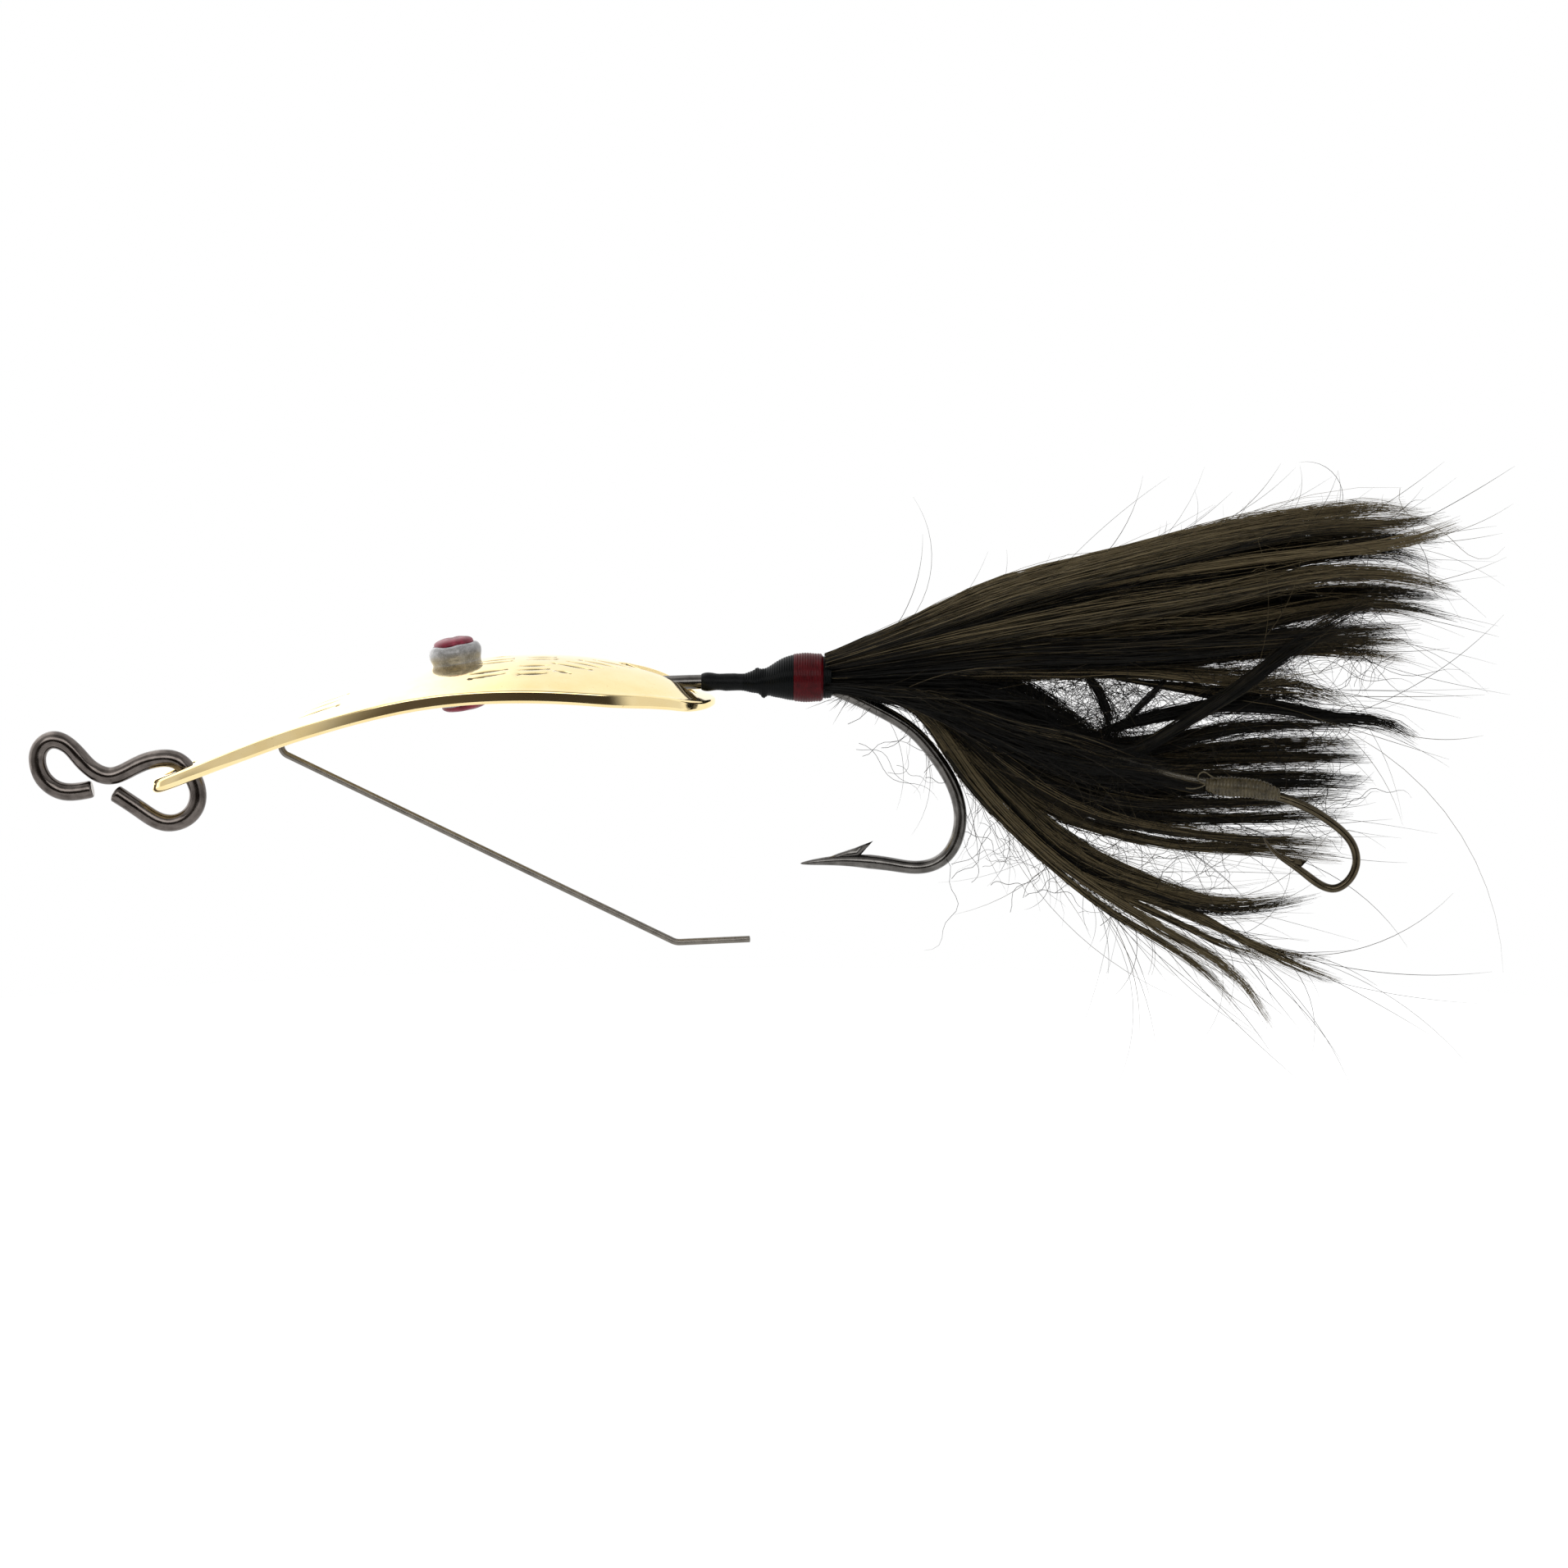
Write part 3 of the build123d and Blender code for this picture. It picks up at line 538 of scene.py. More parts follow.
SNELL_THREAD = thread("snell_thread", (0.003, 0.0024, 0.0012), (0.115, 0.092, 0.047), 0.5, (0.15, 0.35))
HAIR = hair()
MONO = cloudy(
    "mono", {"uv": True, "scale": (3, 0.5, 1)}, (1.5, 4), [(0.3, (0.10, 0.085, 0.055)), (0.7, (0.24, 0.21, 0.15))],
    (0.1, 0.3, 0.3, 0.7), (0.01, 0.6), Transmission_Weight=0.7, IOR=1.45, Specular_IOR_Level=0.5,
)

# ---------------------------------------------------------------- blade

station_x = [s[0] for s in BLADE_STATIONS]
thin = [1 - THIN_LOSS * min(max((x - THIN_FROM) / THIN_OVER, 0), 1) for x in station_x]
crown_at = cubic(station_x, [s[1] for s in BLADE_STATIONS])
drop_at = cubic(station_x, [HALF_BLANK**2 / (2 * s[2]) for s in BLADE_STATIONS])
under_at = cubic(station_x, [SHEET * t / cos(radians(s[3])) for t, s in zip(thin, BLADE_STATIONS)])


def stroke_lines():
    """Each stroke as a row of points and their half widths."""
    s = np.linspace(0, 1, 40)
    for x0, y0, x1, y1, width in STROKES:
        line = np.stack([x0 + (x1 - x0) * s, y0 + (y1 - y0) * s], 1)
        yield line, width / 2 * (0.35 + 0.65 * np.sin(pi * (s * 0.9 + 0.05)))


STROKE_LINES = list(stroke_lines())


def gaps(points, line):
    """Distance from each plan point to each point of a line."""
    return np.hypot(points[:, 0][:, None] - line[:, 0], points[:, 1][:, None] - line[:, 1])


def engraving(plan):
    """Depth of the engraved strokes at points on the blade."""
    depth = np.zeros(len(plan))
    for line, half in STROKE_LINES:
        near = (np.abs(plan - line.mean(0)) < STROKE_REACH).all(1)
        if near.any():
            gap = gaps(plan[near], line)
            best = gap.argmin(1)
            edge = 1 - gap[np.arange(len(best)), best] / half[best]
            depth[near] = np.maximum(depth[near], STROKE_DEPTH * smooth(edge * STROKE_WALL))
    return depth


def stroke_points():
    """Rows of finer points along and beside each stroke."""
    rows = []
    for line, half in STROKE_LINES:
        along = unit(np.gradient(line, axis=0))
        out = np.stack([-along[:, 1], along[:, 0]], 1)
        rows += [line + out * (half * share)[:, None] for share in (-2, -1, -0.65, -0.3, 0, 0.3, 0.65, 1, 2)]
    return np.vstack(rows)


def blade_height(plan, side):
    """Height of the sheet's top (side 1) or underside (side -1)."""
    x, y = plan.T
    drop = drop_at(x)
    radius = (HALF_BLANK**2 + drop**2) / (2 * drop)
    top = crown_at(x) - (radius - np.sqrt(radius**2 - y**2))
    return top if side == 1 else top - under_at(x)


def outward(loop):
    """The direction out of a closed plan loop at each of its points."""
    along = unit(np.roll(loop, -1, 0) - np.roll(loop, 1, 0))
    return np.stack([along[:, 1], -along[:, 0]], 1)


def blade_outline(count):
    """The trimmed outline in plan."""
    near, far = [(x, -half) for x, half in OUTLINE], OUTLINE[::-1]
    loop = [(NOSE_X, 0), *near, (TAIL_X, 0), *far]
    wrap = 6
    around = loop[-wrap:] + loop + loop[:wrap]
    t = chord(around)
    fine = cubic(t, around)(np.linspace(t[wrap], t[wrap + len(loop)], 6000))
    return spaced(fine, lambda total: np.linspace(0, total, count + 1)[:-1])


def blade_holes(side):
    """The nose hole and the tail slot in plan, at the top or the underside of the sheet."""
    hole_x, hole_r, tilt = NOSE_HOLE
    x, r, a = hole_x - sin(radians(tilt)) * SHEET / 2 * side, hole_r + CHAMFER, round_angles(72)
    start, end, half = SLOT
    wide, turn = half + CHAMFER, np.linspace(-pi / 2, pi / 2, 30)
    right = np.stack([end - half + wide * np.cos(turn), wide * np.sin(turn)], 1)
    left = np.stack([start + half - wide * np.cos(turn), -wide * np.sin(turn)], 1)
    return [np.stack([x + r * cos(radians(tilt)) * np.cos(a), r * np.sin(a)], 1), np.vstack([right, left])]


def inside(points, outer, holes):
    """Which points lie inside a closed plan loop and outside its holes."""
    x, y = points[:, 0][:, None], points[:, 1][:, None]
    found = []
    for a in (outer, *holes):
        b = np.roll(a, -1, 0)
        cross = (a[None, :, 1] > y) != (b[None, :, 1] > y)
        with np.errstate(divide="ignore", invalid="ignore"):
            at = (b[:, 0] - a[:, 0]) * (y - a[:, 1]) / (b[:, 1] - a[:, 1]) + a[:, 0]
        found.append(((x < at) & cross).sum(1) % 2 == 1)
    return found[0] & ~np.any(found[1:], 0)


def blade_sheet(outer, holes, fine_points, pitch=0.42):
    """A plan triangulation: points (the loops first), triangles."""
    gx, gy = np.meshgrid(np.arange(8, 67, pitch), np.arange(-12, 12, pitch * 0.87))
    gx[1::2] += pitch / 2
    grid = np.stack([gx.ravel(), gy.ravel()], 1)
    if len(fine_points):
        for line, _ in STROKE_LINES:
            grid = grid[gaps(grid, line).min(1) > STROKE_CLEAR]
        grid = np.vstack([grid, fine_points])
    grid = grid[inside(grid, outer, holes)]
    edges, base = [], 0
    for loop in (outer, *holes):
        grid = grid[gaps(grid, loop).min(1) > RIM_CLEAR]
        n = len(loop)
        edges += [(base + i, base + (i + 1) % n) for i in range(n)]
        base += n
    points = np.vstack([outer, *holes, grid])
    made = delaunay_2d_cdt([Vector(p) for p in points], edges, [], 0, 1e-6)
    out = np.array([tuple(v) for v in made[0]])
    tris = np.array([f for f in made[2] if len(f) == 3])
    return out, tris[inside(out[tris].mean(1), outer, holes)]


def build_blade():
    outline = blade_outline(1000)
    out_dir = outward(outline)
    wanted = np.interp(outline[:, 0], (13.0, 19.0), (NOSE_ROUND, EDGE_ROUND))
    corner = np.minimum(wanted, 0.42 * SHEET * np.interp(outline[:, 0], station_x, thin))[:, None]
    inner = outline - out_dir * corner
    verts, faces, sheets = [], [], {}
    for side, extra in ((1, stroke_points()), (-1, ())):
        points, tris = blade_sheet(inner, blade_holes(side), extra)
        z = blade_height(points, side) - (engraving(points) if side == 1 else 0)
        base = sheets[side] = len(verts)
        verts += np.column_stack([points, z]).tolist()
        (ax, ay), (bx, by) = (points[tris[:, 1]] - points[tris[:, 0]]).T, (points[tris[:, 2]] - points[tris[:, 0]]).T
        for (a, b, c), turn in zip((tris + base).tolist(), ax * by - ay * bx < 0):
            faces.append((a, c, b) if turn == (side == 1) else (a, b, c))

    edges = [(inner, inner, out_dir, corner, 8)]
    edges += [(top, low, -outward(top), CHAMFER, 4) for top, low in zip(blade_holes(1), blade_holes(-1))]
    at = 0
    for plan_top, plan_low, dirs, r, steps in edges:
        # over the top corner, down the wall and round the bottom corner
        angles, n = np.linspace(0, pi / 2, steps + 1)[1:], len(plan_top)
        rows = [[sheets[1] + at + i for i in range(n)]]
        for plan, side, order in ((plan_top, 1, angles), (plan_low, -1, angles[::-1])):
            for angle in order:
                z = blade_height(plan, side) - side * np.ravel(r) * (1 - cos(angle))
                rows.append([len(verts) + i for i in range(n)])
                verts += np.column_stack([plan + dirs * (r * sin(angle)), z]).tolist()
        rows.append([sheets[-1] + at + i for i in range(n)])
        for upper, lower in zip(rows, rows[1:]):
            for i in range(n):
                j = (i + 1) % n
                quad = (upper[i], lower[i], lower[j], upper[j])
                faces.append(quad[::-1] if at else quad)
        at += n
    ob = place_piece(mesh_object("blade_sheet", verts, faces, GOLD), "lure", "gold_plate", "blade")
    mark = engraving(np.array(verts)[:, :2]) / STROKE_DEPTH
    mark[sheets[-1] :] = 0
    set_values(ob.data, "mark", mark)


def set_values(me, name, values):
    me.attributes.new(name, "FLOAT", "POINT").data.foreach_set("value", values.astype(np.float32))


# ---------------------------------------------------------------- snap link


def build_snap(sides=28, knots=30):
    path = even(in_plane(SNAP_PATH), 0.12)
    noise = cubic(np.arange(knots), np.random.default_rng(11).normal(0, 1, knots))
    radius = SNAP_R * (1 + 0.012 * noise(np.linspace(0, knots - 1, len(path))))
    radius[:3] *= (0.84, 0.95, 0.99)
    parts = sweep(path, radius, sides, (0.0, 0.45))
    ob = solid("snap_wire", parts, SNAP_STEEL, "snap", "dark_steel_wire", "snap_link")
    ob.data.materials.append(CUT_STEEL)
    for face in list(ob.data.polygons)[-2 * sides : -sides]:  # the first end's fan
        face.material_index = 1
        face.use_smooth = False


# ---------------------------------------------------------------- rivet and eye studs


def bezier(a, b, c, count):
    """Points of a quadratic curve from a to c."""
    a, b, c = (np.array(p, float) for p in (a, b, c))
    return [tuple(a * (1 - s) ** 2 + b * 2 * s * (1 - s) + c * s**2) for s in np.linspace(0, 1, count)]


def rounded(points, radius, steps=5):
    """An open profile with its inner corners rounded."""
    out = [points[0]]
    for corner in zip(points, points[1:], points[2:]):
        a, b, c = (np.array(p, float) for p in corner)
        r = min(radius, np.linalg.norm(a - b) * 0.45, np.linalg.norm(c - b) * 0.45)
        out += bezier(b + unit(a - b) * r, b, b + unit(c - b) * r, steps)
    return [*out, points[-1]]


def build_rivet():
    low, shank, head = -(BELOW + 0.8), PIN_R - 0.02, 1.25
    profile = [(low, 0.3), (low, head), (low + 0.25, head), (low + 0.3, shank), (0.5, shank), (0.55, head)]
    rings = stud_lathe(rounded([*profile, (0.8, 1.2), (0.8, 0.3)], 0.08), 40)
    solid("rivet", skin(rings), BRASS, "lure", "rivet_brass", "rivet_pin")


def stud_wobble(seed, amount):
    """Uneven hand-dipped lacquer round a stud."""
    rng = np.random.default_rng(seed)
    phases = rng.uniform(0, 2 * pi, (5, 2))
    sizes = rng.uniform(0.4, 1, 5) * amount

    def wave(angle, column, shift):
        return sum(a * np.sin((i + 2) * angle + phases[i, column] + shift) for i, a in enumerate(sizes))

    return lambda angle, row: (wave(angle, 0, row * 0.15) * 0.6, wave(angle, 1, -row * 0.12) * 0.5)


def build_stud(side, sign, zero, height, root, lip, wide, seeds):
    """A pearl cup and its red dome; root and lip are the cup's inner edge, wide is the dome's radius."""
    ring = [(root, 2.2), (root, 2.42), (0.12, 2.46), (height * 0.34, 2.66), (height * 0.64, 2.72)]
    ring += [(height * 0.92, 2.46), (height, lip), (height - 0.22, 1.96), (height - 0.35, 0.95)]
    dome = [(height - 0.42, 1.2), (height - 0.36, wide - 0.1), (height - 0.1, wide + 0.01), (height + 0.06, wide)]
    for a in np.linspace(0.12, 0.97, 14) * pi / 2:
        dome.append((height + 0.06 + 0.56 * sin(a) ** 0.9, wide * cos(a) ** 0.6))
    for part, profile, seed, amount, material, slot in (
        ("ring", rounded(ring, 0.4, 6), seeds[0], 0.035, PEARL, "pearl_paint"),
        ("pupil", dome, seeds[1], 0.022, RED, "red_paint"),
    ):
        parts = skin(stud_lathe([(zero + sign * h, r) for h, r in profile], 84, stud_wobble(seed, amount)))
        parts = parts if sign > 0 else mirrored(parts)
        solid(f"eye_{part}_{side}", parts, material, "lure", slot, f"{side}_eye_{part}")


# ---------------------------------------------------------------- main hook


def prism(outline, y_half, tip, y=0.0):
    """A thin sliver from an (x, z) outline that narrows to nothing at its point number tip."""
    n = len(outline)
    halves = [0.02 if i == tip else y_half for i in range(n)]
    verts = [(x, y + side * half, z) for side in (-1, 1) for (x, z), half in zip(outline, halves)]
    faces = [tuple(range(n)), tuple(range(2 * n - 1, n - 1, -1))]
    faces += [((i + 1) % n, i, i + n, (i + 1) % n + n) for i in range(n)]
    return verts, faces, [(0, 0)] * sum(len(face) for face in faces)


def build_hook():
    path = even(in_plane(HOOK_PATH), 0.14)
    run = chord(path)
    left = run[-1] - run
    radius = HOOK_R * (0.03 + 0.97 * np.sqrt(np.clip(left / 7.0, 0, 1)) ** 1.15)
    bend = smooth((run - 36) / 6) * smooth((left - 7) / 4)
    wire = sweep(path, radius * (1 + 0.03 * bend), 26, squash=1 - 0.10 * bend)
    middle, half = -(EYE_TOP + HOOK_EYE_THICK / 2), HOOK_EYE_THICK / 2 - 0.02
    rows = 24
    turns = np.linspace(pi, -pi, rows + 1)[:-1]
    profile = [(middle + half * sin(a), HOOK_EYE_R + HOOK_EYE_WIDE * cos(a)) for a in turns]
    eye = skin(stud_lathe(profile, 56), np.arange(rows + 1) / rows, closed=True)
    parts = joined(wire, prism(HOOK_BARB, 0.26, 3), eye)
    solid("hook_wire", parts, HOOK_STEEL, "lure", "hook_steel", "main_hook")


# ---------------------------------------------------------------- weed guard


def straight(a, b, step):
    """Points from a to b, about a step apart, without a itself."""
    a, b = np.array(a, float), np.array(b, float)
    count = max(int(np.linalg.norm(b - a) / step), 1)
    return [tuple(a + (b - a) * i / count) for i in range(1, count + 1)]


def build_guard():
    """One wire: loop round the rivet, hidden run, root bend, long arm, turned-out tip."""
    loop_r = PIN_R + 0.05 + GUARD_R
    middle = STUD_TOP - STUD_AXIS * GUARD_DEPTH
    start = middle - STUD_ALONG * loop_r
    bend_x, bend_z = GUARD_BEND
    rise, reach = start.z - bend_z, start.x - bend_x
    upper = atan2(rise, reach) + acos(GUARD_BEND_R / hypot(rise, reach))
    angles = np.linspace(upper, radians(270 - GUARD_SLOPE), 40)
    bend = [(bend_x + GUARD_BEND_R * cos(t), bend_z + GUARD_BEND_R * sin(t)) for t in angles]
    corner, tip = np.array(GUARD_KNEE), np.array(GUARD_TIP)
    knee = bezier(corner - unit(corner - bend[-1]) * 0.45, corner, corner + unit(tip - corner) * 0.45, 12)
    first = (start.x, start.z)
    flat = [first, *straight(first, bend[0], 0.4)[:-1], *bend, *straight(bend[-1], knee[0], 0.5)[:-1]]
    flat += knee + straight(knee[-1], tip, 0.4)
    turns = []
    for t in np.radians(np.linspace(-178, 178, 60)):
        turns.append(middle + STUD_ALONG * (-loop_r * cos(t)) + Vector((0, 1, 0)) * (loop_r * sin(t)))
    loop = sweep(turns, GUARD_R * 0.99, 14, (0.3, 0.3))
    parts = joined(loop, sweep(in_plane(flat), GUARD_R, 16, (0.0, 0.25)))
    ob = solid("guard_wire", parts, GUARD_STEEL, None, "dark_steel_wire", "guard_anchor", "guard_arm")
    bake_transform(ob)


# ---------------------------------------------------------------- sleeve, head, band and collar


def build_wrap(name, node, material, slot, stations, per_mm, sides, ridge=None, lumps=()):
    """A wrap round the shank.

    ridge is the thread's pitch, depth and wander. A lump is its x, angle, size, width along x and width in angle.
    """

    def relief(x, radius, angle):
        r = np.full(sides, radius)
        if ridge:
            pitch, depth, wander = ridge
            r -= thread_turns(x, angle, pitch, depth, wander * np.sin(angle * 2 + x * 1.7))
        for lump_x, lump_angle, size, wide_x, wide_angle in lumps:
            away = (angle - lump_angle + pi) % (2 * pi) - pi
            r += size * np.exp(-(((x - lump_x) / wide_x) ** 2)) * np.exp(-((away / wide_angle) ** 2))
        return r

    rows = int((stations[-1][0] - stations[0][0]) * per_mm) + 2
    solid(name, along_x(stations, rows, sides, 0, relief), material, "lure", slot, node)


def build_wraps():
    build_wrap(
        "sleeve", "shank_sleeve", TUBE, "black_tube",
        [
            (64.75, 8.6, 0.8), (64.9, 8.6, 0.87), (66.2, 8.6, 0.855), (67.4, 8.58, 0.88), (68.6, 8.58, 0.86),
            (69.3, 8.57, 0.88),
        ],
        14, 40, None, [(65.9, 1.2, 0.03, 0.4, 0.7), (67.2, 4.4, 0.03, 0.3, 0.6), (68.1, 2, 0.035, 0.3, 0.8)],
    )
    build_wrap(
        "head_thread", "head_wrap", BLACK_THREAD, "black_thread",
        [
            (68.9, 8.56, 0.86), (69.3, 8.57, 0.95), (69.8, 8.6, 1.1), (70.5, 8.62, 1.2), (71.3, 8.66, 1.36),
            (72, 8.76, 1.68), (72.8, 8.93, 2), (73.5, 9, 2.22), (74.1, 9.05, 2.34),
        ],
        26, 96, (0.24, 0.045, 0.6),
        [
            (70.4, 1.35, 0.26, 0.3, 0.5), (71.05, 4.6, 0.42, 0.34, 0.5), (70.1, 3.3, 0.12, 0.5, 0.5),
            (72.4, 5.9, 0.08, 0.6, 0.5), (70.9, 1.9, 0.12, 0.3, 0.4),
        ],
    )
    build_wrap(
        "band_thread", "red_band", RED_THREAD, "red_thread",
        [
            (74.02, 9.05, 2.2), (74.12, 9.05, 2.34), (74.35, 9.05, 2.43), (75, 9.05, 2.5), (75.9, 9.05, 2.49),
            (76.7, 9.05, 2.44), (76.98, 9.05, 2.34), (77.1, 9.05, 2.16),
        ],
        34, 96, (0.27, 0.05, 0.25),
    )
    build_wrap(
        "collar_thread", "collar_wrap", BLACK_THREAD, "black_thread",
        [(77, 9.05, 2.08), (77.2, 9.05, 2.14), (77.6, 9.05, 2.12), (77.95, 9.05, 1.98), (78.1, 9.06, 1.7)],
        30, 80, (0.25, 0.06, 0.8),
    )


# ---------------------------------------------------------------- leader, snell and trailing hook


def leader_line():
    """Points along the leader's centreline, in millimetres."""
    data = bpy.data.curves.new("leader_line", "CURVE")
    data.dimensions = "3D"
    data.resolution_u = 12
    spline = data.splines.new("NURBS")
    spline.points.add(len(LEADER_PATH) - 1)
    for point, place in zip(spline.points, LEADER_PATH):
        point.co = (*(c * MM for c in place), 1)
    spline.order_u = 3
    spline.use_endpoint_u = True
    route = bpy.data.objects.new("leader_route", data)
    line = bpy.data.meshes.new_from_object(route)
    points = np.array([v.co for v in line.vertices]) / MM
    bpy.data.meshes.remove(line)
    bpy.data.objects.remove(route)
    bpy.data.curves.remove(data)
    return points


def build_leader(snell, hook):
    path = leader_line()
    parts = sweep(path, LEADER_R, 14, (0.2, 0.2))
    ob = solid("leader_mono", parts, MONO, None, "mono", "leader_root", "leader_end")
    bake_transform(ob)


def build_snell():
    def relief(x, radius, angle):
        grooves = thread_turns(x, angle, 0.36, 0.09, 0.5 * np.sin(angle + x))
        crossing = 0.05 * np.clip(np.sin(x / 1.9 * 2 * pi - angle * 2), 0.75, 1)
        return radius * (1 + 0.02 * sin(x * 5)) - grooves + crossing - 0.05

    body = along_x(SNELL_STATIONS, 330, 56, TRAIL_Y, relief)
    parts = joined(body, sweep(even(SNELL_TAG, 0.12), 0.075, 8, (0.5, 0.5)))
    return solid("snell_thread", parts, SNELL_THREAD, "trailer", "snell_thread", "trailer_snell")


def build_trailer():
    path = even(in_plane(TRAIL_PATH, TRAIL_Y), 0.12)
    run = chord(path)
    radius = TRAIL_R * (0.05 + 0.95 * np.clip((run[-1] - run) / 6.5, 0, 1) ** 0.55)
    wire = sweep(path, radius, 20, (0.3, 0.0), 1 - 0.12 * smooth((run - 9) / 5))
    parts = joined(wire, prism(TRAIL_BARB, 0.17, 2, TRAIL_Y))
    return solid("trailer_wire", parts, TRAIL_STEEL, "trailer", "trailer_steel", "trailer_hook")


build_blade()
build_snap()
build_rivet()
build_stud("top", 1, 0.0, 1.85, -0.55, 2.12, 2.03, (3, 7))
build_stud("bottom", -1, -BELOW, 1.0, 0.02, 1.9, 2.3, (4, 8))
build_hook()
build_guard()
build_wraps()
build_leader(build_snell(), build_trailer())

# ---------------------------------------------------------------- hair

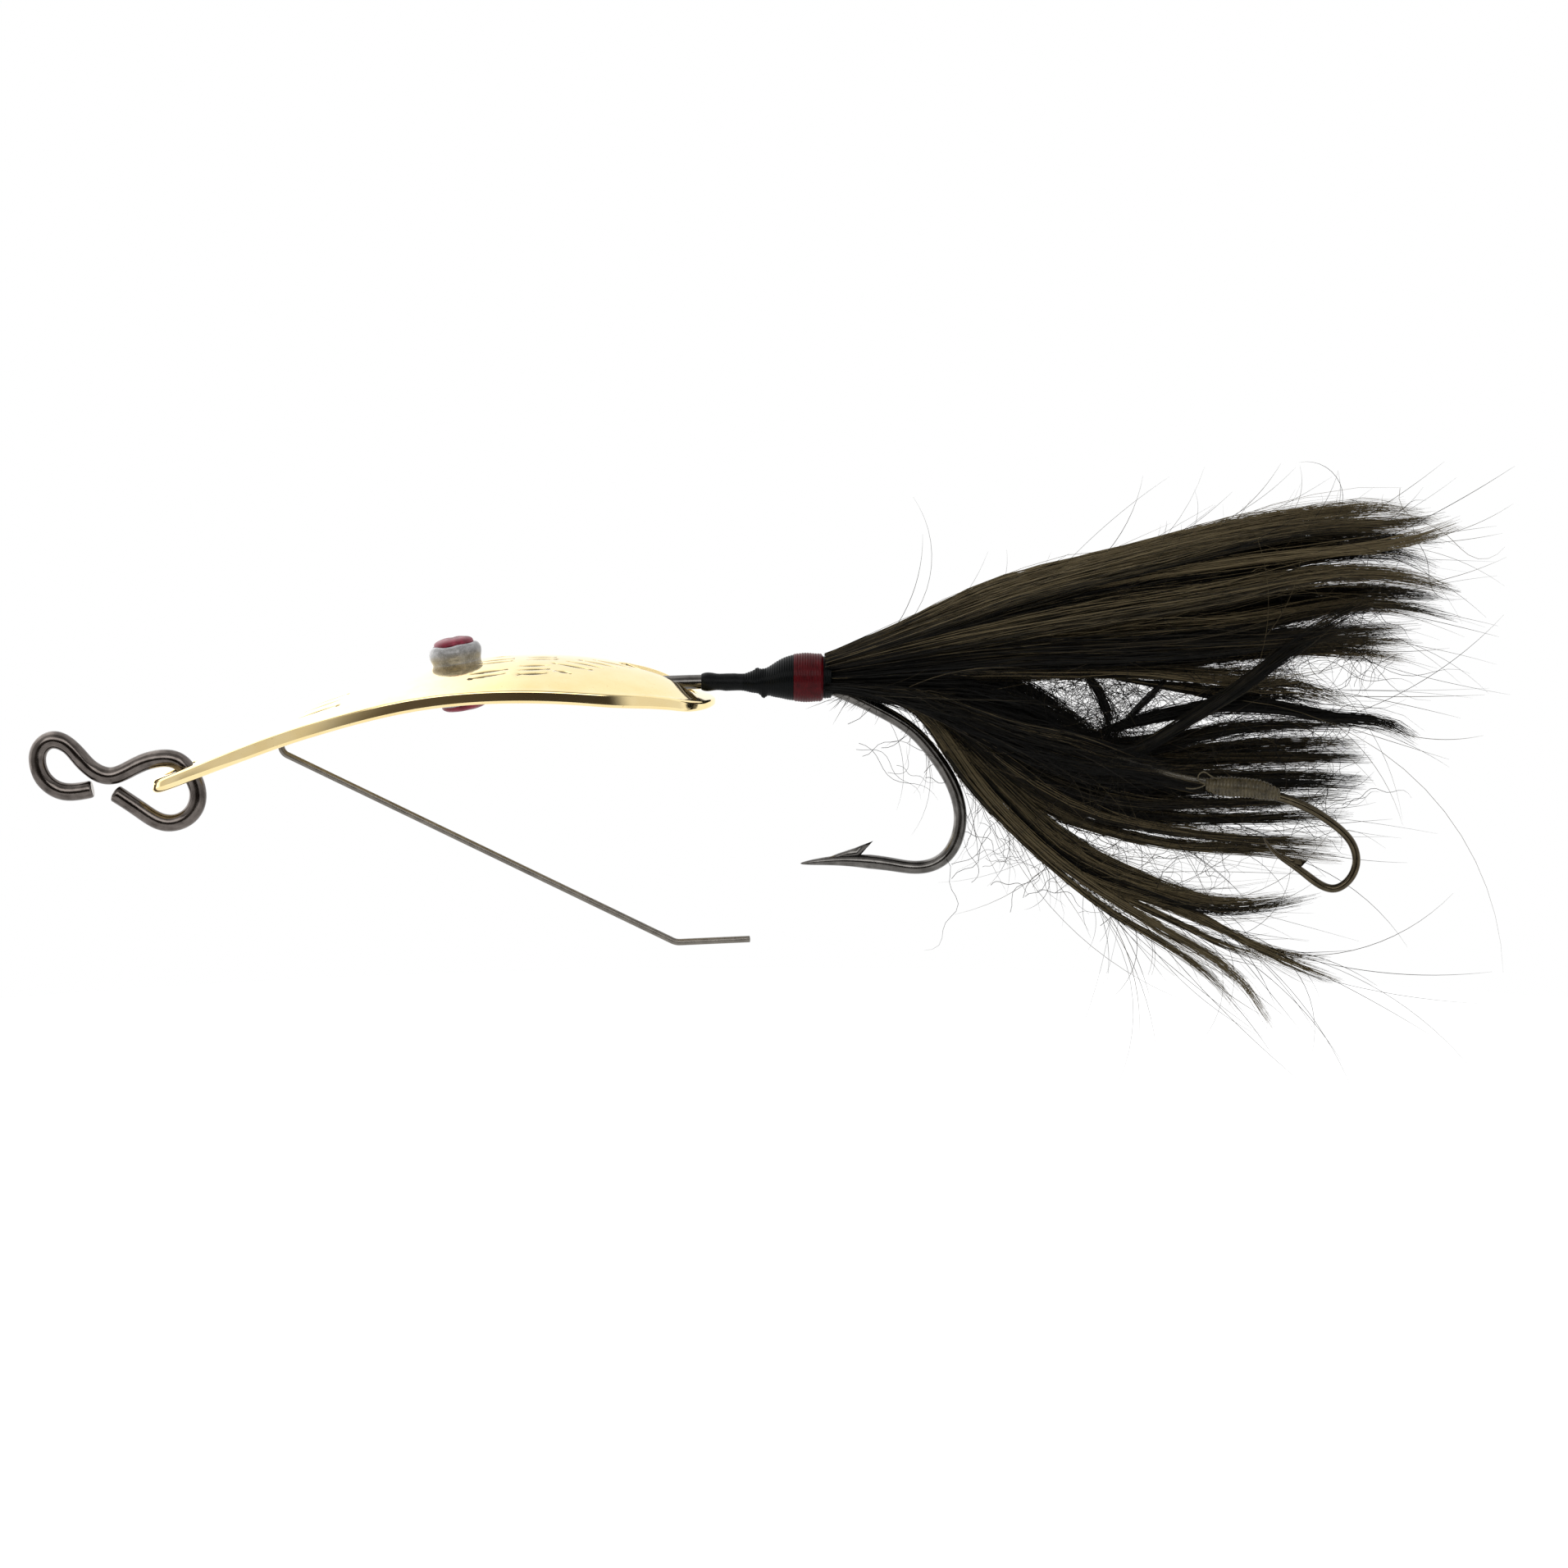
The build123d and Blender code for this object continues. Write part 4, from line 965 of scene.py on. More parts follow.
# node: ropes of (strands, tone, tufts, first y, last y, largest half width, line);
# the line's points are (x, z, half height in units of HEIGHT_UNIT)
ROPES = {
    "crown_lock": [
        (520, 0.88, 10, 0.2, 1.5, 2.6, [
            (77.4, 10.9, 10), (81.6, 12.2, 18), (86.5, 14, 24), (91.3, 16, 28), (96.1, 17.9, 26), (101.9, 19.5, 24),
            (107.7, 20.9, 22), (113.5, 22.5, 22), (119.2, 23.9, 22), (125, 24.9, 22), (129.8, 25.6, 18),
            (134.7, 25.9, 12), (139, 25.1, 4),
        ]),
        (500, 0.72, 10, -0.2, -2.2, 2.6, [
            (77.4, 10.7, 10), (86.4, 13.7, 24), (96, 17.2, 28), (107.5, 20.2, 26), (119, 23.1, 19.2), (127, 24.5, 13.6),
            (133.2, 24.8, 11.2), (137.1, 25.1, 7.4), (140.2, 25.9, 3.1),
        ]),
        (90, 1.5, 3, -2, -3.6, 0.9, [
            (100.8, 18, 8), (110.3, 19.8, 10), (119.8, 21.2, 10), (128.4, 22.2, 10), (134.1, 23, 9), (138.8, 24.3, 7),
            (142.8, 26, 2),
        ]),
        (420, 0.35, 10, 0.3, 3, 2.4, [
            (77.4, 10.5, 10), (86.5, 13, 24), (96.1, 15.9, 28), (107.8, 18.6, 26), (119.4, 21.2, 19.2),
            (127.7, 22.7, 13.6), (134.9, 23, 12.4), (139.8, 22.5, 7.4), (141.6, 21.6, 2.5),
        ]),
        (420, 0.08, 10, 0, -0.6, 2.4, [
            (77.4, 10.3, 10), (86.4, 12.5, 24), (96.1, 14.9, 26), (107.6, 17.4, 24), (119.1, 19.8, 17.6),
            (127.3, 21.5, 12.4), (133.5, 22, 11.2), (137.8, 21.1, 8.1), (139.6, 19.6, 3.7),
        ]),
    ],
    "upper_lock": [
        (430, 0.66, 10, -0.3, -3.2, 2.4, [
            (77.4, 10.1, 10), (86.4, 12.1, 24), (96, 14.1, 28), (107.5, 16.2, 28), (118.9, 18.2, 22.4),
            (127, 19.8, 16.1), (134.2, 19.8, 13.6), (138.5, 19, 8.7), (141.2, 18.1, 2.5),
        ]),
        (430, 0.35, 10, 0.3, 2.6, 2.6, [
            (77.4, 9.9, 10), (86.5, 11.4, 22), (96.2, 13, 28), (107.8, 14.5, 28), (119.4, 15.8, 22.4),
            (127.7, 17.2, 16.1), (135, 17.4, 12.4), (139.8, 16.9, 7.4), (142.2, 16.5, 2.5),
        ]),
        (430, 0.5, 10, 0, -0.4, 2.6, [
            (77.4, 9.7, 10), (86.4, 11.2, 22), (96.1, 12.5, 26), (107.7, 13.5, 26), (119.2, 14.5, 20.8),
            (127.4, 16.1, 13.6), (133.6, 16.6, 9.9), (138.9, 15.8, 7.4), (141.5, 15, 2.5),
        ]),
    ],
    "second_lock": [
        (330, 0.35, 6, -0.4, -2.4, 2.3, [
            (77.4, 9.6, 10), (86.4, 10.8, 22), (96, 11.8, 26), (107.6, 12.3, 26), (119.1, 12.9, 19.2),
            (124.8, 13.5, 12.4), (129.6, 14, 9.9), (134.4, 14.3, 7.4), (138.1, 14.4, 2.5),
        ]),
        (320, 0.5, 6, 0.4, 1.6, 2.3, [
            (77.4, 9.3, 10), (86.5, 10.2, 20), (96.2, 10.7, 24), (107.8, 10.9, 22), (116.5, 11.2, 14.4),
            (122.8, 11.8, 11.2), (127.7, 12.3, 8.7), (133.9, 12.5, 8.7), (138.7, 12.2, 3.1),
        ]),
        (110, 0.9, 4, 1, 3, 1.4, [
            (101, 10.6, 8), (110.7, 10.5, 9), (118, 10.9, 10), (125.4, 11.4, 10), (132.7, 11.2, 10), (138.6, 10.2, 3),
        ]),
        (170, 0.02, 3, -1, -3.4, 0.9, [
            (101, 1.1, 1), (104.8, 0.8, 13), (107.7, 1.4, 12), (110.5, 2.8, 12), (114.3, 5.3, 12), (118.1, 7.8, 12),
            (122.3, 11.2, 12), (126.6, 14.3, 12), (130.4, 16.2, 8), (134.2, 17.6, 3),
        ]),
    ],
    "droop_lock": [
        (240, 0.7, 6, 0, 0.4, 2, [
            (77.4, 9.1, 10), (86.5, 9.7, 16), (96.1, 9.7, 16), (103.9, 9.7, 14), (111.6, 9.5, 14), (118.4, 9, 18),
            (123.2, 9, 20), (127.1, 9.4, 15), (129.4, 9.7, 5),
        ]),
        (130, 0.4, 5, 0.4, 1.6, 1.4, [
            (106.8, 8.8, 1), (113.6, 7.9, 10), (119.4, 7.4, 16), (124.3, 7.6, 20), (128.2, 6.7, 16), (131.1, 5.7, 5),
        ]),
        (190, 0.05, 4, -0.6, -1.1, 1.1, [
            (103.9, 3.1, 1), (108.7, 4.7, 10), (114.5, 5.9, 12), (120.2, 6.4, 15), (125, 5.8, 13), (129.9, 5.1, 11),
            (133.8, 4.6, 9), (136.7, 3.2, 7), (138.5, 1.6, 2),
        ]),
        (70, 0.0, 2, -0.5, -1, 0.8, [
            (103.1, 11.3, 1), (104.4, 8.4, 8), (105.8, 5.8, 9), (105.9, 3.4, 8), (105.1, 0.7, 6),
        ]),
        (50, 0.0, 2, 0.5, -0.5, 0.7, [
            (112.6, 9.7, 1), (110.4, 7.4, 7), (108.5, 5.4, 7), (106.8, 3.3, 6), (105.3, 1.6, 4),
        ]),
    ],
    "lower_lock": [
        (330, 0.02, 8, -0.2, -1.2, 2, [
            (77.4, 9.1, 10), (81.6, 8.8, 16), (86.4, 8.2, 24), (91.3, 7.1, 32), (96.1, 5.8, 36), (100, 4.4, 34),
            (103.8, 2.9, 28), (107.7, 2.1, 20), (111.6, 1.8, 8),
        ]),
        (220, 0.02, 8, 0.2, 1.6, 2, [
            (79.7, 9.2, 10), (84.5, 9.2, 16), (89.4, 9, 22), (93.8, 8.5, 26), (97.7, 7.2, 26), (101.1, 5.2, 24),
            (104, 3.3, 20), (106.9, 2, 10),
        ]),
        (330, 0.05, 8, -1.2, -4.3, 1, [
            (77.5, 8.6, 8), (81.6, 8.2, 13), (86.4, 7.3, 20), (91.2, 5.7, 26), (96, 4, 32), (100.8, 2.4, 34),
            (105.6, 1.2, 30), (109.4, 0.6, 20), (112.3, 0.2, 6),
        ]),
        (170, 0.02, 6, -1.9, -3.6, 0.7, [
            (77.3, 8.3, 7), (79.7, 8.2, 9), (82.5, 7.9, 12), (85.4, 7.4, 15), (88.3, 6.8, 18), (91.2, 5.8, 18),
            (94, 4.7, 12),
        ]),
        (130, 0.2, 6, -1.5, -2.6, 1, [
            (91.2, 7.6, 8), (97, 4.5, 16), (101.8, 2, 22), (106.7, 0.4, 22), (110.5, -0.7, 18), (114.4, -1.5, 12),
            (118.2, -2, 5),
        ]),
        (420, 0.1, 8, 0.4, 2.6, 3, [
            (77.4, 8.9, 10), (82.6, 8.5, 16), (87.5, 7.2, 26), (92.3, 5.2, 34), (97.2, 3.2, 38), (102.1, 1.2, 36),
            (108, 0.5, 26), (113.8, 0.2, 15.3), (120.7, 0.5, 8.7), (126.5, 0.6, 7.4), (133.6, 0.5, 3.1),
        ]),
        (260, 0.2, 6, 0.2, 0.9, 1.6, [
            (77.4, 8.8, 10), (87.4, 7.1, 20), (92.8, 4.9, 28), (98.6, 2.4, 30), (105.9, 1.4, 24), (113.7, 2.6, 17),
            (120.4, 3.9, 11.2), (126.2, 4.1, 8.7), (133.1, 3.8, 2.5),
        ]),
        (260, 0.25, 6, 0.6, 3.6, 2.2, [
            (77.4, 8.6, 10), (87.5, 6.8, 20), (92.8, 4.2, 28), (98.7, 1.5, 30), (106.1, -0.3, 26), (113.9, 0.6, 15.3),
            (120.7, 1.5, 11.2), (127.6, 1.8, 8.7), (133.9, 1.6, 2.5),
        ]),
        (250, 0.2, 6, 0.2, 1.2, 1.7, [
            (77.4, 8.5, 10), (87.4, 6.6, 20), (92.8, 3.9, 28), (98.6, 0.9, 30), (106, -1.3, 26), (113.7, -1.2, 15.3),
            (120.5, -1.2, 9.9), (127.3, -1.2, 8.7), (133.6, -1.7, 2.5),
        ]),
        (240, 0.3, 6, 0.4, 3.2, 2.2, [
            (77.4, 8.3, 10), (87.5, 6.3, 20), (92.8, 3.3, 28), (98.7, 0, 30), (106.1, -2.5, 24), (113.9, -2.8, 13.6),
            (120.8, -2.4, 8.7), (128.1, -2.4, 7.4), (133.4, -2.7, 2.5),
        ]),
        (220, 0.3, 6, 0.2, 1.6, 1.7, [
            (77.4, 8.2, 10), (87.4, 6.2, 18), (92.8, 3, 26), (98.7, -0.5, 28), (106, -3.2, 22), (113.8, -4, 11.9),
            (120.6, -4, 7.4), (127.4, -3.6, 6.2), (132.9, -3.3, 1.9),
        ]),
    ],
    "fringe_lock": [
        (200, 0.5, 6, 0.4, 2.6, 1.8, [
            (77.4, 8.1, 8), (87.5, 6.1, 16), (92.8, 2.6, 22), (98.7, -1.2, 24), (106, -4.4, 18), (113.9, -5.7, 10.2),
            (120.7, -5.7, 6.2), (127.6, -5.5, 6.2), (132.8, -5.3, 1.9),
        ]),
        (170, 0.6, 6, 0.3, 1.6, 1.5, [
            (77.4, 8, 8), (87.5, 5.8, 14), (92.8, 2.2, 20), (98.7, -2, 20), (106, -5.4, 14), (113.8, -7, 7.6),
            (120.7, -7.8, 5), (127.5, -8.1, 5), (131.6, -8.6, 1.9),
        ]),
        (190, 0.75, 6, 0.5, 2.8, 1.6, [
            (77.4, 7.9, 7), (87.5, 5.6, 12), (91.4, 2.8, 14), (96.3, -1.9, 16), (101.2, -5.1, 14), (107.1, -7.2, 10),
            (114, -8.6, 8), (120.8, -8.9, 8), (125.7, -9.4, 7), (130.7, -10, 2),
        ]),
    ],
    "belly_lock": [
        (260, 0.55, 5, 0.3, 0.9, 1, [
            (77.4, 7.8, 6), (82.6, 7.5, 8), (86.5, 6.5, 9), (88.9, 4.6, 10), (91.3, 1.4, 11), (94.8, -2.2, 12),
            (98.2, -5.8, 14), (102.1, -9.1, 16), (107, -11.7, 15), (111.9, -13.4, 13), (117.3, -14.7, 12),
            (122.6, -14.4, 11), (126.5, -13.7, 9), (128.7, -13.2, 3),
        ]),
        (170, 0.85, 4, 0.5, 1.4, 1, [
            (77.4, 7.8, 6), (82.6, 7.4, 8), (87, 5.8, 8), (90.4, 3.4, 9), (93.8, -0.1, 10), (97.2, -3.5, 11),
            (101.2, -7, 11), (106, -10, 10), (111, -12.2, 9), (115.8, -13.9, 8), (120.7, -14.3, 6), (125.6, -14, 3),
        ]),
        (110, 0.7, 4, 0, 0.2, 0.8, [
            (81.1, 7.6, 5), (85.5, 6.4, 6), (88.4, 3.5, 7), (90.6, 0.1, 8), (93.3, -3.4, 8), (96.7, -6.6, 9),
            (100.6, -9.5, 9), (105, -12, 8), (109.9, -13.5, 6), (113.8, -14.4, 2),
        ]),
    ],
    "long_wisp": [
        (130, 0.8, 4, -0.4, -1, 0.6, [
            (77.4, 7.8, 5), (82.6, 7.4, 6), (86.4, 6.4, 6), (89.5, 3.3, 7), (92.3, -0.8, 8), (96.2, -5.3, 8),
            (101, -9.7, 8), (105.9, -13.1, 8), (110.8, -16.1, 7), (115.2, -18.7, 6), (118.2, -20.7, 5),
            (121.1, -23.9, 4), (123.7, -28.4, 1),
        ]),
        (60, 0.8, 4, -0.9, -0.6, 0.6, [
            (89.5, 1.6, 4), (92.8, -2.8, 5), (97.2, -7.4, 6), (102, -11.6, 6), (106.9, -15.1, 6), (110.9, -17.5, 6),
            (114.8, -20, 5), (118.2, -23, 4), (121, -26.9, 2),
        ]),
    ],
    "short_wisp": [
        (110, 0.8, 4, 0.8, 0.9, 0.6, [
            (96.2, -4.5, 6), (102.1, -9.9, 8), (108, -13.1, 8), (113.9, -15.2, 7), (118.8, -17.5, 6), (123.2, -19.7, 5),
            (127.1, -21.4, 4), (130.7, -22.8, 1),
        ]),
        (60, 0.8, 4, 0.5, 1.2, 0.7, [
            (100.2, -8.8, 5), (106, -12.8, 6), (111.9, -15.6, 6), (116.9, -18.1, 5), (120.8, -19.6, 4),
            (124.7, -20.6, 2),
        ]),
        (50, 0.8, 4, 1, 1.3, 0.7, [
            (107, -11.9, 5), (111.9, -13.8, 6), (115.8, -15.6, 5), (119.8, -17.9, 4), (124.7, -19.6, 3),
            (129.8, -20.3, 1),
        ]),
    ],
}
# fine crossing hairs by node: count, x range, z range, y range, tone
NETS = {
    "lower_lock": [(430, 92.8, 110.1, 2.5, 9.3, -2.5, 3, 0.12), (230, 105.9, 131.5, -5.3, 4.5, -1.4, 3.5, 0.2)],
    "droop_lock": [(260, 103.9, 125.1, 4.5, 9.6, -2, 3, 0.2)],
    "fringe_lock": [(150, 92.8, 120.4, -8.3, 1.5, -1.4, 2.5, 0.35)],
    "belly_lock": [(80, 92.9, 120.5, -12.7, -4.8, -1.2, 2, 0.35), (25, 84.1, 92.7, -1.4, 7.4, -1, 1, 0.3)],
    "second_lock": [(110, 110.6, 133.7, 9.3, 15.2, -2, 3, 0.3)],
    "upper_lock": [(50, 117.8, 136, 14.7, 21.4, -3, 3, 0.4)],
    "crown_lock": [(30, 122.5, 134.5, 20.5, 25.8, -3, 3, 0.6)],
}
# loose hairs by node
STRAYS = {
    "crown_lock": 100, "upper_lock": 60, "second_lock": 60, "droop_lock": 70, "lower_lock": 110,
    "fringe_lock": 90, "belly_lock": 70, "long_wisp": 45, "short_wisp": 45,
}
HEIGHT_UNIT = 1 / 20.628
SEGMENTS = 15
STRAND_R = 0.046


def strand_mesh(node, name, points, radius, tone):
    """A piece of tapered three-sided strands for a node. points is (strands, rows, 3) in millimetres."""
    count, rows = points.shape[:2]
    along = unit(np.gradient(points, axis=1))
    side = unit(np.cross(along, np.array([0.13, 0.92, 0.37])))
    third = np.cross(along, side)
    s = np.linspace(0, 1, rows)
    r = radius[:, None] * (1 - 0.82 * (np.clip(s - 0.55, 0, 1) / 0.45) ** 1.6)
    angle = round_angles(3)
    ring = side[:, :, None] * np.cos(angle)[:, None] + third[:, :, None] * np.sin(angle)[:, None]
    verts = (points[:, :, None] + ring * r[:, :, None, None]).reshape(-1, 3) * MM

    base = (np.arange(count) * rows * 3)[:, None, None]
    low = base + (np.arange(rows - 1) * 3)[None, :, None]
    j = np.arange(3)
    k = (j + 1) % 3
    quads = np.stack([low + j, low + k, low + 3 + k, low + 3 + j], -1).reshape(-1, 4)
    caps = np.vstack([base[:, 0] + j[::-1], base[:, 0] + (rows - 1) * 3 + j])
    loops = np.concatenate([quads.ravel(), caps.ravel()])
    starts = np.cumsum([0] + [4] * len(quads) + [3] * (len(caps) - 1))

    me = bpy.data.meshes.new(name)
    me.vertices.add(len(verts))
    me.vertices.foreach_set("co", verts.astype(np.float32).ravel())
    me.loops.add(len(loops))
    me.loops.foreach_set("vertex_index", loops.astype(np.int32))
    me.polygons.add(len(starts))
    me.polygons.foreach_set("loop_start", starts.astype(np.int32))
    me.update(calc_edges=True)
    me.polygons.foreach_set("use_smooth", np.ones(len(starts), bool))
    set_values(me, "tone", np.repeat(tone.reshape(-1), 3))
    place_piece(finished(me, HAIR), "lure", "olive_hair", node)


def rope_curve(y0, y1, widest, line):
    """x, y, z, half width and half height along a rope, as a function of 0 to 1."""
    tallest, last = max(h for _, _, h in line), len(line) - 1
    table = []
    for i, (x, z, h) in enumerate(line):
        y = round(y0 + (y1 - y0) * min(1, 1.6 * i / last), 1)
        table.append((x, y, z, round(widest * (h / tallest) ** 0.7, 2), round(h * HEIGHT_UNIT, 2)))
    t = chord([row[:3] for row in table])
    return cubic(t / t[-1], table)


def rope_strands(rng, strands, tone, tufts, at, loose=0.16):
    """Strands that follow one rope: points, radii, tones. u runs across the rope and v up it."""
    tuft = rng.uniform(-0.75, 0.75, (2, tufts))
    tuft_end = rng.uniform(0.88, 1.0, tufts)
    tuft_tone = rng.normal(0, 0.22, tufts)
    tuft_wave = rng.normal(0, 0.22, (tufts, 2))
    tuft_turns, tuft_phase = rng.uniform(0.7, 2.2, tufts), rng.uniform(0, 2 * pi, (tufts, 2))
    angle, out = rng.uniform(0, 2 * pi, strands), np.sqrt(rng.uniform(0, 1, strands))
    stray = rng.uniform(0, 1, strands) < loose
    out = np.where(stray, out * rng.uniform(1.0, 1.9, strands), out)
    root = out * np.stack([np.cos(angle), np.sin(angle)])
    own = np.hypot(*(root[:, :, None] - tuft[:, None])).argmin(1)
    end = np.clip(tuft_end[own] - rng.gamma(1.2, 0.055, strands), 0.4, 1.03)
    begin = np.where(rng.uniform(0, 1, strands) < 0.25, rng.uniform(0, 0.12, strands), 0.0)
    s = np.linspace(0, 1, SEGMENTS)[None, :]
    where = begin[:, None] + (end - begin)[:, None] * s
    line = at(where)
    centre, (half_w, half_h) = line[..., :3], np.clip(np.moveaxis(line[..., 3:], -1, 0), 0.02, None)
    along = unit(np.gradient(centre, axis=1))
    wide = unit(np.array([0.0, 1.0, 0.0]) - along * along[..., 1:2])
    high = np.cross(wide, along)
    high *= np.sign(high[..., 2:3] + 1e-9)
    pull = 0.45 * smooth((where - 0.3) / 0.6) * np.where(stray, 0.2, 1)[:, None]
    drift, wave = rng.normal(0, 0.42, (2, strands, 1)), rng.normal(0, 0.16, (2, strands, 1))
    phase = rng.uniform(0, 2 * pi, (2, strands, 1))
    turns = rng.uniform(1.0, 3.2, (strands, 1))
    uv = (root[..., None] + drift * s) * (1 - pull) + tuft[:, own, None] * pull
    uv += wave * np.sin(turns * 2 * pi * where + phase) * (0.3 + s)
    tuft_turn = tuft_turns[own, None] * 2 * pi * where
    uv += tuft_wave[own].T[..., None] * np.sin(tuft_turn + tuft_phase[own].T[..., None]) * s
    fine, fine_turns = rng.normal(0, 0.07, (strands, 1)), rng.uniform(3, 7, (strands, 1))
    uv[1] += fine * np.sin(fine_turns * 2 * pi * where + phase[0] * 3)
    flare = rng.normal(0, 0.3, (strands, 1)) * smooth((s - 0.6) / 0.4) * (1 + 1.5 * stray[:, None])
    points = centre + wide * (uv[0] * half_w)[..., None] + high * (uv[1] * half_h + flare)[..., None]
    radius = STRAND_R * rng.uniform(0.65, 1.25, strands) * np.where(stray, 0.7, 1.0)
    shade = tone + tuft_tone[own] + rng.normal(0, 0.2, strands)
    # lit paints light and shade into each strand's tone: strands on the top of a rope are painted lighter as if lit
    # from above, and the rise towards the tip and the drop near the root are partly the hair's own colour and partly
    # painted light and painted shade
    lit = 0.2 * np.clip(uv[1], -1.2, 1.2) + 0.16 * smooth((where - 0.5) / 0.5) - 0.35 * smooth(1 - where / 0.3)
    return points, radius, np.clip(shade[:, None] + lit, 0, 1.6)


def loose_hairs(rng, count, curves):
    """Single long hairs that leave the ropes and curl away."""
    points, radius, tone = [], [], []
    s = np.linspace(0, 1, SEGMENTS)[:, None]
    for _ in range(count):
        at = curves[rng.integers(len(curves))]
        begin = rng.uniform(0.05, 0.8)
        here = at(begin)
        heading = unit(at(min(begin + 0.04, 1))[:3] - here[:3])
        up = np.array([-heading[2], 0, heading[0]])
        length = rng.gamma(2.4, 4.2) + 3
        swing, tilt, curl = rng.normal(0, 0.26), rng.normal(0, 0.22), rng.normal(0, 0.8)
        a = swing + curl * s
        move = heading * np.cos(a) + up * np.sin(a) + np.array([0, tilt, 0])
        edge = rng.uniform(-1, 1, 2)
        start = here[:3] + np.array([0, edge[0] * here[3], 0]) + up * edge[1] * here[4]
        points.append(start + np.cumsum(move, 0) * length / (SEGMENTS - 1))
        radius.append(STRAND_R * rng.uniform(0.4, 0.75))
        tone.append(np.full(SEGMENTS, rng.uniform(0.2, 0.8)))
    return np.array(points), np.array(radius), np.array(tone)


def netted_hairs(rng, count, x0, x1, z0, z1, y0, y1, tone):
    """Fine crossing hairs through an open part of the tail."""
    s = np.linspace(0, 1, SEGMENTS)
    start = np.stack([rng.uniform(a, b, count) for a, b in ((x0, x1), (y0, y1), (z0, z1))], -1)
    length = rng.gamma(2.5, 2.2, (count, 1)) + 1.5
    heading = rng.normal(0.0, 0.75, (count, 1)) + rng.normal(0, 1.3, (count, 1)) * s
    heading += 0.5 * np.sin(rng.uniform(1, 3, (count, 1)) * 2 * pi * s + rng.uniform(0, 2 * pi, (count, 1)))
    sideways = rng.normal(0, 0.15, (count, 1)) * np.ones((1, SEGMENTS))
    move = np.stack([np.cos(heading), sideways, np.sin(heading)], -1)
    points = start[:, None] + np.cumsum(move, 1) * (length / SEGMENTS)[..., None] - move[:, :1] * length[..., None] / 2
    shade = np.clip(rng.normal(tone, 0.15, (count, 1)), 0, 1) * np.ones((1, SEGMENTS))
    return points, STRAND_R * rng.uniform(0.35, 0.75, count), shade


def held_in(points, margin=(3.5, 2.5, 5.5)):
    """Strands shortened towards their roots until they are within reach of the CAD box."""
    low, high = np.array(cad_low) / MM - margin, np.array(cad_high) / MM + margin
    root = points[:, :1]
    for _ in range(14):
        out = ((points < low) | (points > high)).any((1, 2))
        points = np.where(out[:, None, None], root + (points - root) * 0.85, points)
    return points


def build_hair():
    rng = np.random.default_rng(2024)
    for node, ropes in ROPES.items():
        curves = [rope_curve(*rope[3:]) for rope in ropes]
        sets = [rope_strands(rng, *rope[:3], at) for rope, at in zip(ropes, curves)]
        sets.append(loose_hairs(rng, STRAYS[node], curves))
        sets += [netted_hairs(rng, *net) for net in NETS.get(node, [])]
        points, radius, tone = (np.concatenate(part) for part in zip(*sets))
        strand_mesh(node, "hair_" + node, held_in(points), radius, tone)


def build_root(count=900, fuzz=70):
    """Short, dense hair from under the collar out over the first part of the locks, with fuzz under it."""
    rng = np.random.default_rng(77)
    angle, out = rng.uniform(0, 2 * pi, count), np.sqrt(rng.uniform(0, 1, count))
    s = np.linspace(0, 1, SEGMENTS)[None, :]
    away = rng.uniform(6, 17, count)[:, None] * s
    spread = 1.75 + 0.16 * away + 0.006 * away**2
    lift = (out * np.sin(angle))[:, None] * spread
    points = np.stack([77.5 + away, (out * np.cos(angle))[:, None] * spread * 0.95, 9.05 + 0.10 * away + lift], -1)
    points[..., 1] += rng.normal(0, 0.25, (count, 1)) * s
    points[..., 2] += rng.normal(0, 0.35, (count, 1)) * s
    radius = STRAND_R * rng.uniform(0.7, 1.3, count)
    # painted light: strands that lie higher in the tuft get a lighter tone, as if lit from above
    tone = np.clip(rng.normal(0.08, 0.1, (count, 1)) + 0.25 * smooth((lift - 1.2) / 2), 0, 1)

    x, y = rng.uniform(79, 84, fuzz), rng.uniform(-1.5, 1.5, fuzz)
    start = np.stack([x, y, 7.4 - 0.1 * (x - 79)], -1)
    aim = np.stack([rng.normal(-0.5, 0.5, fuzz), rng.normal(0, 0.3, fuzz), -np.abs(rng.normal(0.6, 0.3, fuzz))], -1)
    bits = start[:, None] + aim[:, None] * s[..., None] * rng.uniform(0.8, 2.6, fuzz)[:, None, None]
    points = np.concatenate([points, bits])
    radius = np.concatenate([radius, np.full(fuzz, STRAND_R * 0.55)])
    tone = np.concatenate([tone, np.full((fuzz, SEGMENTS), 0.2)])
    strand_mesh("hair_root", "hair_root_tuft", points, radius, tone)


build_hair()
build_root()

# ---------------------------------------------------------------- stage, light and camera

VIEW_TARGET = Vector((73.13, 0, -1.85)) * MM
VIEW_MM, VIEW_ELEVATION = 480, 8.0
SENSOR, PIXELS_PER_MM, PICTURE_PIXELS = 36.0, 12, 1912
FLOOR_Z, FLOOR_R = -75 * MM, 300 * MM
FLOOR_GREY, FLOOR_GLOW = 0.12, 0.94
ROOM_DARK, ROOM_BRIGHT, SIDE_BRIGHT, SOFT_BOX = (0.05, 0.042, 0.036), 1.15, 1.9, 2.9


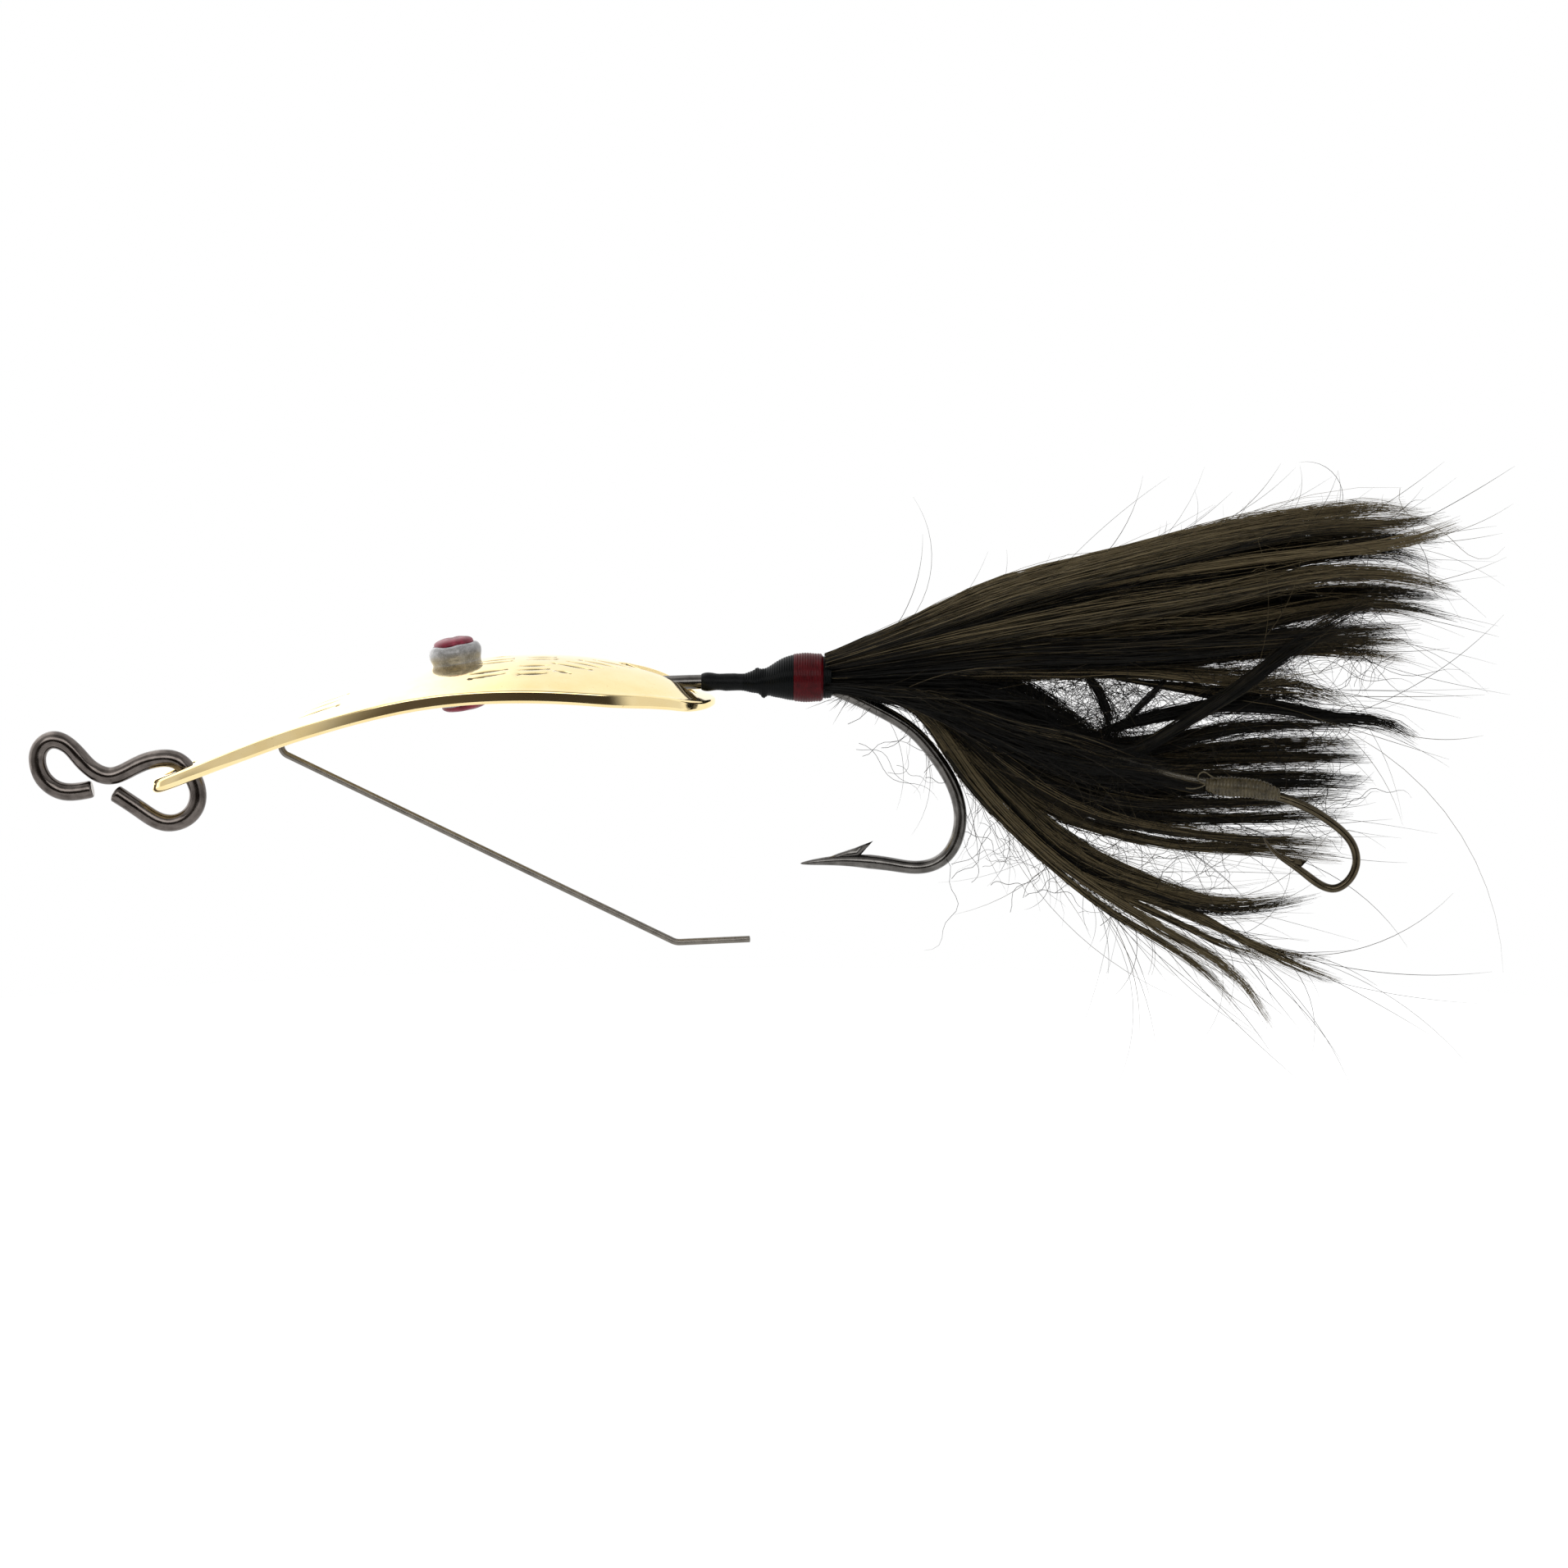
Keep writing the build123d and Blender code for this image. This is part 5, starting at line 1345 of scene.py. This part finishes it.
def build_floor():
    paper = bpy.data.materials.new("paper_floor")
    sockets = Tree(paper).nodes["Principled BSDF"].inputs
    sockets["Base Color"].default_value = rgba(FLOOR_GREY)
    sockets["Roughness"].default_value = 0.9
    sockets["Emission Color"].default_value = rgba(1)
    sockets["Emission Strength"].default_value = FLOOR_GLOW
    me = bpy.data.meshes.new("floor")
    corners = [(VIEW_TARGET.x + FLOOR_R * cos(a), FLOOR_R * sin(a), FLOOR_Z) for a in round_angles(72)]
    me.from_pydata(corners, [], [tuple(range(len(corners)))])
    finished(me, paper)


def build_world():
    """A white studio: bright above and behind, dim in front with one soft box, plain white to the camera.

    Every part of it is a smooth step along one axis of the direction it is seen in.
    """
    world = bpy.data.worlds.new("studio")
    bpy.context.scene.world = world
    t = Tree(world)
    t.nodes.clear()
    x, y, z = t.node("SeparateXYZ", [t.node("TexCoord").outputs["Generated"]]).outputs

    def span(value, start, end, low=0, high=1):
        return t.scaled(value, low, high, start, end, interpolation_type="SMOOTHSTEP")

    def joint(operation, first, *others):
        for other in others:
            first = t.math(operation, first, other)
        return first

    back, above = span(y, -0.40, 0.05), span(z, 0.45, 0.75, 0, 0.38)
    ahead, behind = span(x, 0.36, 0.62, 0, 0.75), span(x, -0.30, -0.75, 0, 0.3)
    shade = t.mix(joint("MAXIMUM", back, above, ahead, behind), ROOM_DARK, ROOM_BRIGHT)
    room = t.mix(1.0, shade, span(x, -0.03, -0.28, 1, SIDE_BRIGHT), "MULTIPLY")
    upright = span(z, 0.20, 0.30), span(z, 0.56, 0.70, 1, 0)
    across = span(x, -0.55, -0.45), span(x, 0.3, 0.4, 1, 0)
    lit = t.mix(joint("MULTIPLY", span(y, -0.35, -0.5), *upright, *across), room, SOFT_BOX)
    seen = t.mix(t.node("LightPath").outputs["Is Camera Ray"], lit, 1)
    t.node("OutputWorld", [t.node("Background", {"Color": seen}).outputs[0]])


def build_camera():
    data = bpy.data.cameras.new("camera")
    data.sensor_width = SENSOR
    data.lens = SENSOR * PIXELS_PER_MM * VIEW_MM / PICTURE_PIXELS
    data.clip_start, data.clip_end = 0.01, 50
    cam = bpy.data.objects.new("camera", data)
    bpy.context.scene.collection.objects.link(cam)
    e = radians(VIEW_ELEVATION)
    cam.location = VIEW_TARGET + Vector((0, -cos(e), sin(e))) * (VIEW_MM * MM)
    cam.rotation_euler = (pi / 2 - e, 0, 0)
    bpy.context.scene.camera = cam


build_floor()
build_world()
build_camera()
bpy.context.scene.view_settings.view_transform = "Standard"
